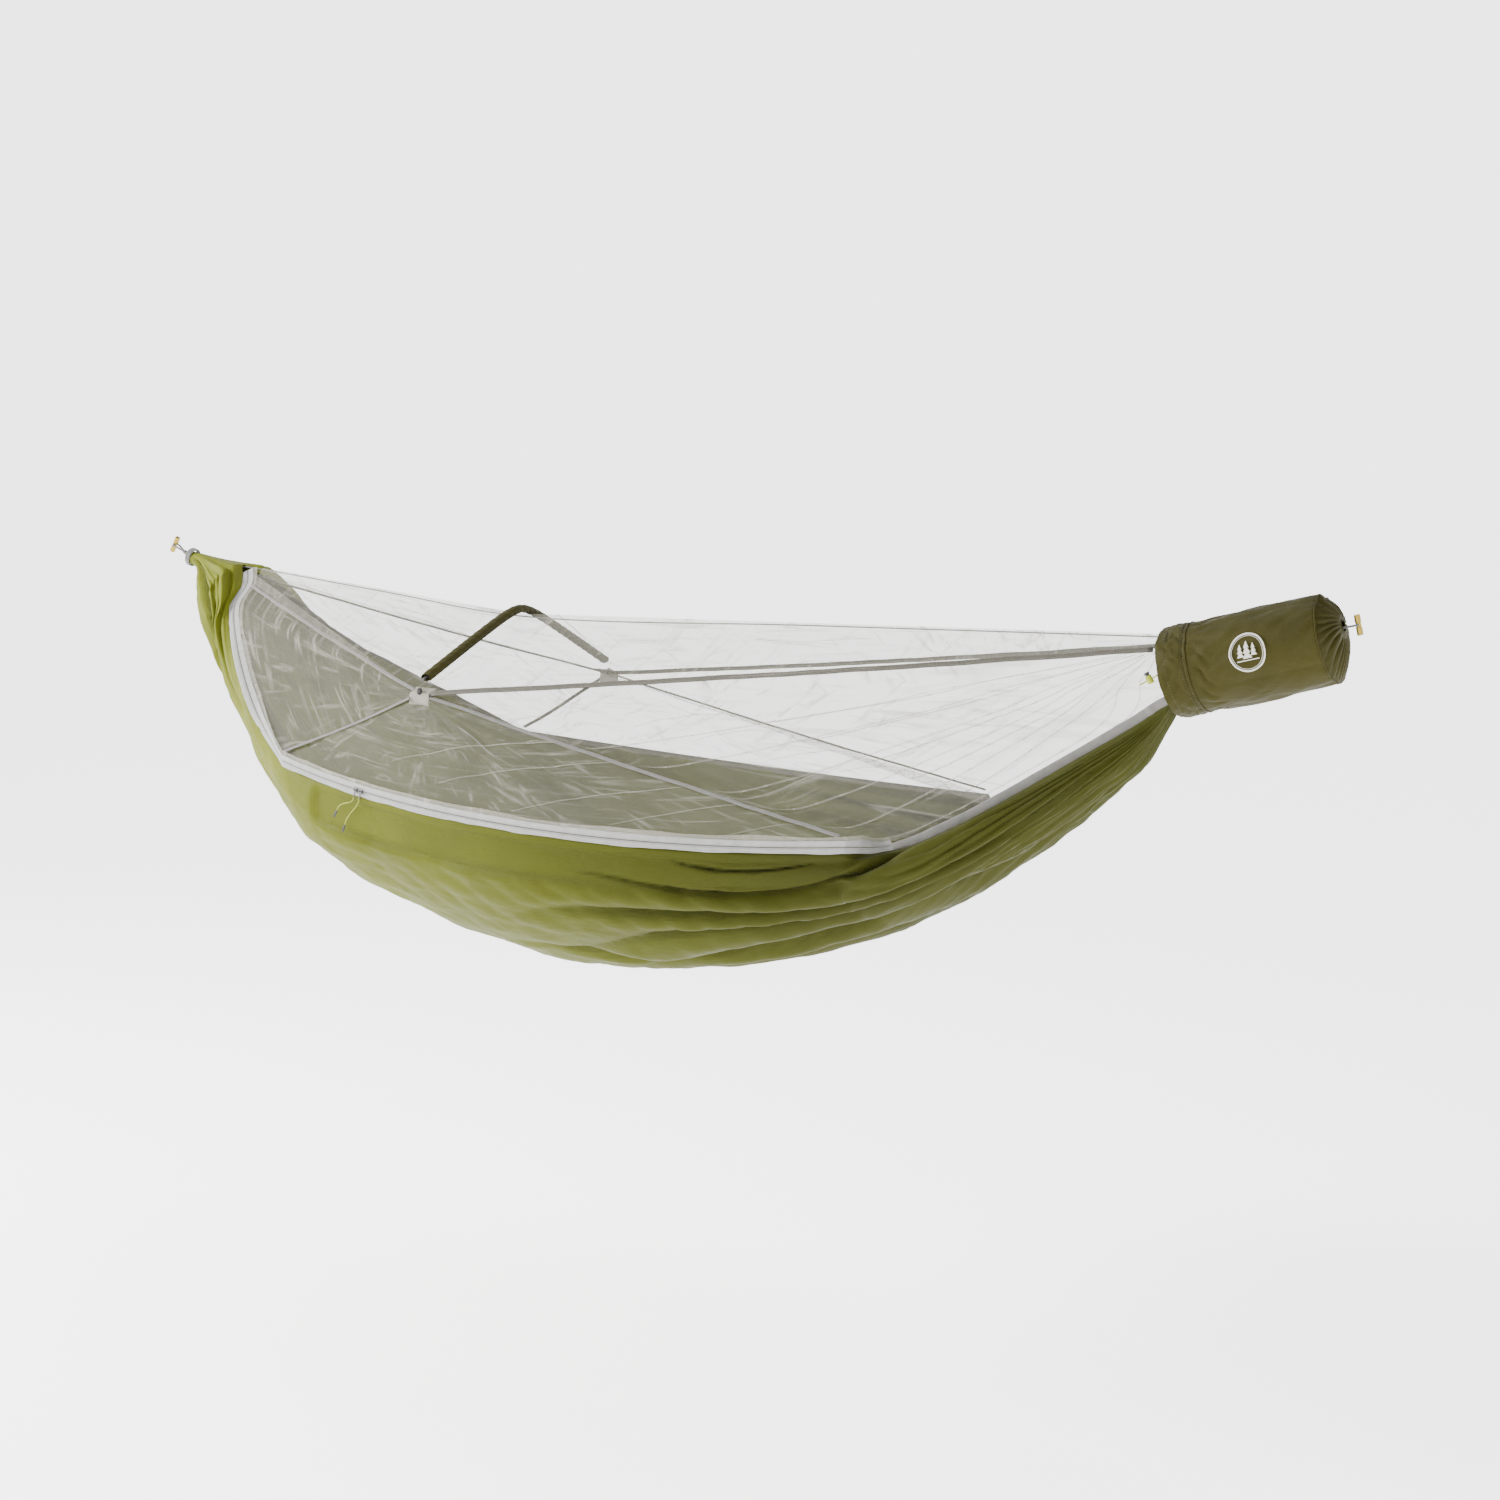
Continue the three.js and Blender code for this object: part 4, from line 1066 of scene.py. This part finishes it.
def add_top_net():
    rows = []
    share = np.linspace(0, 1, 34)
    for x in joined((.182, PATCH[0], 90), (PATCH[0], 2.186, 150)):
        ridge = ridge_at(x)
        sides = []
        for side in (-1, 1):
            edge = tape_at(x, side)
            line = lerp(ridge, edge, share[:, None])
            line[:, 2] -= .010 * np.sin(math.pi * share) * np.linalg.norm(edge - ridge) / .33
            sides.append(line)
        rows.append(np.concatenate([sides[0][::-1], sides[1][1:]]))
    grid = arr(rows)
    normal = normals_of(grid)
    across = np.abs(np.broadcast_to(np.linspace(-1, 1, grid.shape[1]), grid.shape[:2]))
    hold = np.clip(across * (1 - across) * 4, 0, 1)
    run = lengths(grid, 0)[:, None]
    lines = pleat(math.pi * (run * .8 + across * 3.2) + 2 * ripple(run * 1.2, across, 95, 2))
    slack = (.003 * lines + NET_SLACK * ripple(run * 2, across * 1.4, 97, 3)) * hold
    grid = grid + normal * slack[..., None]
    made = sheet_piece("top_netting", grid, "net")
    own(made, "hammock", "net", "top_net")


# ---- Tapes, patches and pole ----------------------------------------------------------------------

TAPE_SAG = .004
FAR_TAPE_CLEARANCE = .009
PATCH_HALF = .023
GROMMET_HOLE = .0035


def tape_piece(name, a, b, width, mat, node):
    """A straight sewn tape from a to b, lying on the net, with two rows of stitches."""
    along = unit(b - a)
    out = unit(arr((0, np.sign(a[1]) * .6, .8)))
    across = unit(np.cross(along, out))
    over = np.cross(across, along)
    shares = np.linspace(0, 1, 120)
    offsets = np.linspace(-.5, .5, 7)
    wobble = .0012 * ripple(shares * np.linalg.norm(b - a) * 6, shares * 0, 101, 2)
    line = [lerp(a, b, t) - arr((0, 0, TAPE_SAG * math.sin(math.pi * t))) + across * w
            for t, w in zip(shares, wobble)]
    crown = .0034 + .0007 * (1 - (2 * offsets) ** 2)
    grid = arr([[p + across * width * o + over * c for o, c in zip(offsets, crown)] for p in line])
    made = sheet_piece(name, grid, mat)
    thicken(made, .0007)
    own(made, "hammock", "tape", node)
    face = normals_of(grid)
    face = face * (1 if face[60, 3] @ over > 0 else -1)
    for k, column in (("a", 1), ("b", 5)):
        stitches(f"{name}_stitch_{k}", grid[:, column], face[:, column], "pale_thread", "hammock", lift=.0004)


def add_tapes():
    for name, side in SIDES.items():
        rim = RIMS[name]
        clear = RIM_CLEARANCE if name == "near" else FAR_TAPE_CLEARANCE
        for role, target, width, end, mat in (
                ("head", hang(RIM_HEAD[1], side), .008, .97, "light_tape"),
                ("lower_head", rim.raised(1, clear), .008, .99, "light_tape"),
                ("lower_foot", rim.raised(2, clear), .008, .99, "light_tape" if name == "near" else "tape"),
                ("foot", hang(TAPE_MOUTH, side), .014, 1.0, "tape")):
            start = lerp(rim.patch, target, .022 / np.linalg.norm(target - rim.patch))
            node = f"{name}_{role}_tape"
            tape_piece(f"{node}_sewn", start, lerp(start, target, end), width, mat, node)


def pole_at(y):
    """The pole's centre line over the net: two straight legs with a round bend at the ridge."""
    slope = (APEX_Z - PATCH[2]) / PATCH[1]
    z = APEX_Z + POLE_LIFT - slope * (math.hypot(y, POLE_BEND) - POLE_BEND)
    return hang((PATCH[0], abs(y), z), 1 if y >= 0 else -1)


def add_sleeve():
    """Cloth sleeve over the pole: a flattened tube with a seam fin and crosswise crinkles."""
    ys = np.linspace(-.318, .318, 250)
    rows = []
    for y in ys:
        centre = pole_at(y)
        along = unit(pole_at(y + .004) - pole_at(y - .004))
        up = unit(np.cross(X_AXIS, along))
        up = up * (1 if up[2] > 0 else -1)
        ring = []
        for k in range(28):
            a = 2 * math.pi * k / 28
            grow = 1 + .05 * math.sin(2 * math.pi * y / .021 + 2 * math.sin(31 * y) + 2 * a)
            ring.append(centre + X_AXIS * .0100 * math.cos(a) * grow + up * .0072 * math.sin(a) * grow)
        rows.append(ring)
    made = sheet_piece("pole_sleeve_cloth", arr(rows), "sack_fabric", closed=True)
    thicken(made, .0008)
    own(made, "hammock", "body_fabric", "pole_sleeve")
    fin = [[pole_at(y) + arr((.0102, 0, -h)) for h in np.linspace(0, .006, 4)] for y in ys[::2]]
    strip = sheet_piece("pole_sleeve_seam", arr(fin), "sack_fabric")
    thicken(strip, .0008)
    own(strip, "hammock", "body_fabric")


def add_patches():
    """A square patch at each pole end, with a hole for its grommet, bent over the net's corner."""
    for name, side in SIDES.items():
        uphill = unit(pole_at(side * .100) - pole_at(side * .300))
        normal = unit(np.cross(X_AXIS, uphill))
        normal = normal * (1 if normal[2] > 0 else -1)
        across = np.cross(uphill, normal)
        centre = RIMS[name].patch + normal * .0034
        rows = []
        for a in np.linspace(-1, 1, 22):
            row = []
            for b in np.linspace(-1, 1, 22):
                edge = max(abs(a), abs(b))
                lift = .0022 * (1 - edge ** 6) + .0006 * math.sin(9 * a + 4 * b)
                pull = 1 - .05 * (1 - abs(a)) * abs(b) - .05 * (1 - abs(b)) * abs(a)
                rise = b * PATCH_HALF * pull
                down = max(0, -rise - .002)
                place = uphill * (rise + down) + (uphill * -.45 - normal * .89) * down
                row.append(centre + across * a * PATCH_HALF * pull + place + normal * lift * .5)
            rows.append(row)
        grid = arr(rows)
        m, n = grid.shape[:2]
        faces = []
        for face in grid_faces(m, n):
            middle = grid.reshape(-1, 3)[list(face)].mean(axis=0) - centre
            if math.hypot(middle @ across, middle @ uphill) > GROMMET_HOLE:
                faces.append(face)
        made = piece(f"{name}_patch_cloth", grid.reshape(-1, 3), faces, "patch", metric(grid).reshape(-1, 3))
        thicken(made, .0012)
        own(made, "hammock", "tape", f"{name}_patch")
        corners = [centre + normal * .0012 + (across * a + uphill * b) * PATCH_HALF * .84
                   for a, b in ((-1, -1), (1, -1), (1, 1), (-1, 1), (-1, -1))]
        line = np.concatenate([np.linspace(p, q, 24)[:-1] for p, q in zip(corners, corners[1:])])
        stitches(f"{name}_patch_stitch", line, np.broadcast_to(normal, line.shape), "pale_thread", "hammock",
                 lift=.0006)


# ---- Stuff sack -----------------------------------------------------------------------------------

SACK_AXIS = arr((math.cos(SACK_TILT), 0, math.sin(SACK_TILT)))
SACK_DOWN = arr((math.sin(SACK_TILT), 0, -math.cos(SACK_TILT)))
SACK_OUTLINE = [(0.0, .0785), (.055, .0785), (.075, .0790), (.150, .0805), (.225, .0800), (.268, .0775),
                (.284, .0760)]
RING_ANGLES = np.linspace(0, 2 * math.pi, 160, endpoint=False)
END_DOME = .0255
PRINT_ANGLE = -math.pi * .53
PRINT_DEPTH = .165
PRINT_RADIUS = .080


def sack_point(angle, depth, radius, shift=0.0):
    """A point round the sack's axis: angle 0 is its underside, a quarter turn back its near side."""
    return (arr(SACK_MOUTH) + SACK_AXIS * depth + SACK_DOWN * (radius * math.cos(angle) - shift)
            + Y_AXIS * radius * math.sin(angle))


def sack_radius(angle, depth):
    """The sack's outer radius with its folds: cinched at the collar, slack in the middle."""
    rows = arr(SACK_OUTLINE)
    base = np.interp(depth, rows[:, 0], rows[:, 1])
    a = arr([angle])
    turns = 2 * math.pi
    loose = .0026 * ripple(np.cos(a) * .9 + depth * 6, np.sin(a) * .9 + depth * 3, 111, 3)[0]
    creases = pleat(9 * a + 2.2 * ripple(a / turns * 3, a * 0 + depth * 9, 113, 2))[0]
    near_collar = bell(depth, COLLAR_LENGTH + .018, .026)
    near_end = bell(depth, SACK_LENGTH, .022)
    long_fold = pleat(4 * a + 1.3 + 1.5 * ripple(a / turns * 2, a * 0 + depth * 2, 117, 2))[0]
    slack = base + loose + .0036 * creases * near_collar + .0016 * creases * near_end + .0022 * long_fold
    return lerp(collar_radius(angle, COLLAR_LENGTH), slack, float(smoothstep(depth, COLLAR_LENGTH, .080)))


def ring_grid(depths, radius_of):
    return arr([[sack_point(a, d, radius_of(a, d)) for a in RING_ANGLES] for d in depths])


def collar_ring(depth, count):
    """A closed line round the collar, just off its cloth."""
    return [sack_point(a, depth, collar_radius(a, depth) + .0004) for a in np.linspace(0, 2 * math.pi, count)]


def ring_cloth(grid):
    """Cloth coordinates of a ring grid, without a jump where it closes."""
    step = np.linalg.norm(grid[:, 1] - grid[:, 0], axis=1).mean()
    across, along = np.meshgrid(np.arange(grid.shape[1]) * step, lengths(grid, 0))
    return np.stack([across, along, np.zeros_like(along)], 2)


def add_sack_cloth():
    grid = ring_grid(joined((COLLAR_LENGTH - .004, .12, 44), (.12, SACK_LENGTH, 60)), sack_radius)
    made = sheet_piece("sack_cloth", grid, "sack_fabric", True, ring_cloth(grid))
    thicken(made, .0008)
    own(made, "sack", "sack_fabric", "sack_body")


def collar_radius(angle, depth):
    """The collar's outer radius, with its gathers and the dip of its seam."""
    a = arr([angle])
    folds = pleat(7 * a + 2.6 * ripple(a / 2, a * 0 + depth * 14, 121, 3))[0]
    slack = ripple(np.cos(a) * 1.2, np.sin(a) * 1.2 + depth * 12, 123, 3)[0]
    belly = math.sin(math.pi * min(depth / COLLAR_LENGTH, 1))
    seam = .0012 * bell(depth, .047, .003)
    return .0790 + .0024 * folds * (.35 + .65 * belly) + .0018 * slack + .0008 * belly - seam


def add_collar():
    """The collar: an outer wall, a rolled mouth hem over the drawcord, and a short inner return."""
    mouth = .0015
    outer = ring_grid(np.linspace(COLLAR_LENGTH, mouth, 46), collar_radius)
    turn_in = ((-.0006, .0014), (-.0004, .0042), (.003, .0062), (.008, .0062), (.013, .0058))
    inner = [[sack_point(a, depth, collar_radius(a, mouth) - inset) for a in RING_ANGLES]
             for depth, inset in turn_in]
    whole = np.concatenate([outer, arr(inner)])
    made = sheet_piece("sack_collar_cloth", whole, "sack_fabric", True, ring_cloth(whole))
    thicken(made, .0007)
    own(made, "sack", "sack_fabric", "sack_collar")
    count = 260
    out = [sack_point(a, 0, 1.0) - sack_point(a, 0, 0.0) for a in np.linspace(0, 2 * math.pi, count)]
    for k, depth in (("a", .0445), ("b", .0495), ("mouth", .0150)):
        line = collar_ring(depth, count)
        stitches(f"collar_stitch_{k}", line, out, "thread", "sack", .0036, .0020, .0004, .0003)
    for k, depth in enumerate((.0470, .0535)):
        welt = tube_piece(f"collar_welt_{k}", collar_ring(depth, 240), .0011, "sack_fabric", 6, ends=False)
        own(welt, "sack", "sack_fabric")


def add_sack_end():
    """Piping round the end seam, and the end panel gathered towards its raised cord hole."""
    angles = np.linspace(0, 2 * math.pi, 241)
    ring = [sack_point(a, SACK_LENGTH + .001, sack_radius(a, SACK_LENGTH) - .0004) for a in angles]
    welt = tube_piece("sack_end_welt", ring, .0017, "sack_fabric", 8, ends=False)
    own(welt, "sack", "sack_fabric", "sack_end_piping")
    rows = []
    for share in np.linspace(0, 1, 46):
        row = []
        for a in np.linspace(0, 2 * math.pi, 200, endpoint=False):
            start = sack_radius(a, SACK_LENGTH) - .0008
            radius = lerp(start, CORD_HOLE_RADIUS + .0010, share)
            folds = pleat(arr([11 * a + 1.6 * math.sin(3 * a) + .8 * math.sin(5 * share + a)]))[0]
            depth = SACK_LENGTH + .002 + END_DOME * math.sin(share * math.pi / 2) ** .85
            depth += folds * .0052 * math.sin(math.pi * min(share * 1.15, 1)) ** .7
            row.append(sack_point(a, depth, radius, CORD_HOLE_RAISE * share))
        rows.append(row)
    grid = arr(rows)
    made = sheet_piece("sack_end_cloth", grid, "sack_fabric", True, ring_cloth(grid))
    thicken(made, .0008)
    own(made, "sack", "sack_fabric", "sack_end_panel")
    rim = [sack_point(a, SACK_LENGTH + .002 + END_DOME, CORD_HOLE_RADIUS + .001, CORD_HOLE_RAISE)
           for a in angles]
    own(tube_piece("cord_hole_hem", rim, .0013, "sack_fabric", 8, ends=False), "sack", "sack_fabric")


def decal(name, outline, lift=.0024):
    """A flat printed shape on the sack, from strips of pairs of points in metres along and round it."""
    points, faces = [], []
    for strip in outline:
        base = len(points)
        for pair in strip:
            for along, turn in pair:
                angle = PRINT_ANGLE + turn / PRINT_RADIUS
                depth = PRINT_DEPTH + along
                points.append(sack_point(angle, depth, sack_radius(angle, depth) + lift))
        faces += [(k, k + 1, k + 3, k + 2) for k in range(base, base + 2 * (len(strip) - 1), 2)]
    own(piece(name, points, faces, "ink"), "sack", "sack_fabric")


def add_print():
    """A generic print: a ring round three plain fir trees over a ground line."""
    turn = np.linspace(0, 2 * math.pi, 73)
    ring = [[((r0 * math.sin(a), r0 * math.cos(a)), (r1 * math.sin(a), r1 * math.cos(a))) for a in turn]
            for r0, r1 in ((.0300, .0330), (.0275, .0283))]
    trees = []
    for centre, size in ((-.012, .75), (.0, 1.0), (.012, .7)):
        for tier in range(3):
            base = (-.012 + tier * .0085) * size + .002
            width = (.0085 - tier * .0018) * size
            strip = []
            for k in np.linspace(0, 1, 7):
                half = width * (1 - k)
                height = -(base + .0125 * size * k)
                strip.append(((centre - half, height), (centre + half, height)))
            trees.append(strip)
    ground = [[((x, .0125), (x, .0140)) for x in np.linspace(-.020, .020, 15)]]
    decal("sack_print_ring", ring)
    decal("sack_print_trees", trees + ground)


# ---- CAD pieces that keep their shape -------------------------------------------------------------

KEPT = {
    "slider_metal": ["zip_end_stop", "slider_head", "slider_foot", "pull_tab_head", "pull_tab_foot"],
    "black_plastic": ["pull_tip_head", "pull_tip_foot", "near_grommet", "far_grommet", "pole_tip_near",
                      "pole_tip_far", "cord_lock_plunger"],
    "pole_fibre": ["pole_near", "pole_far"],
    "ferrule": ["pole_ferrule"],
    "toggle_metal": ["head_toggle", "foot_toggle"],
    "lime_plastic": ["cord_lock_barrel"],
    "spring_steel": ["cord_lock_spring"],
}


def dress_cad():
    for mat, names in KEPT.items():
        for name in names:
            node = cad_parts[name]
            node.data.materials.clear()
            node.data.materials.append(MATS[mat])
            node.data.shade_smooth()
            node.data.set_sharp_from_angle(angle=math.radians(32))
            if mat != "spring_steel":
                soft = node.modifiers.new("soft_edges", "BEVEL")
                soft.width = .0003
                soft.segments = 2
                soft.limit_method = "ANGLE"
                soft.angle_limit = math.radians(35)


# ---- Assembly -------------------------------------------------------------------------------------

add_camera()
add_pull_cords()
add_drawcord()
add_end_cords()
add_ridgeline()
add_studio()
add_body()
add_gather_bindings()
add_rim_bindings()
add_zip()
add_side_nets()
add_top_net()
add_tapes()
add_sleeve()
add_patches()
add_sack_cloth()
add_collar()
add_sack_end()
add_print()
dress_cad()
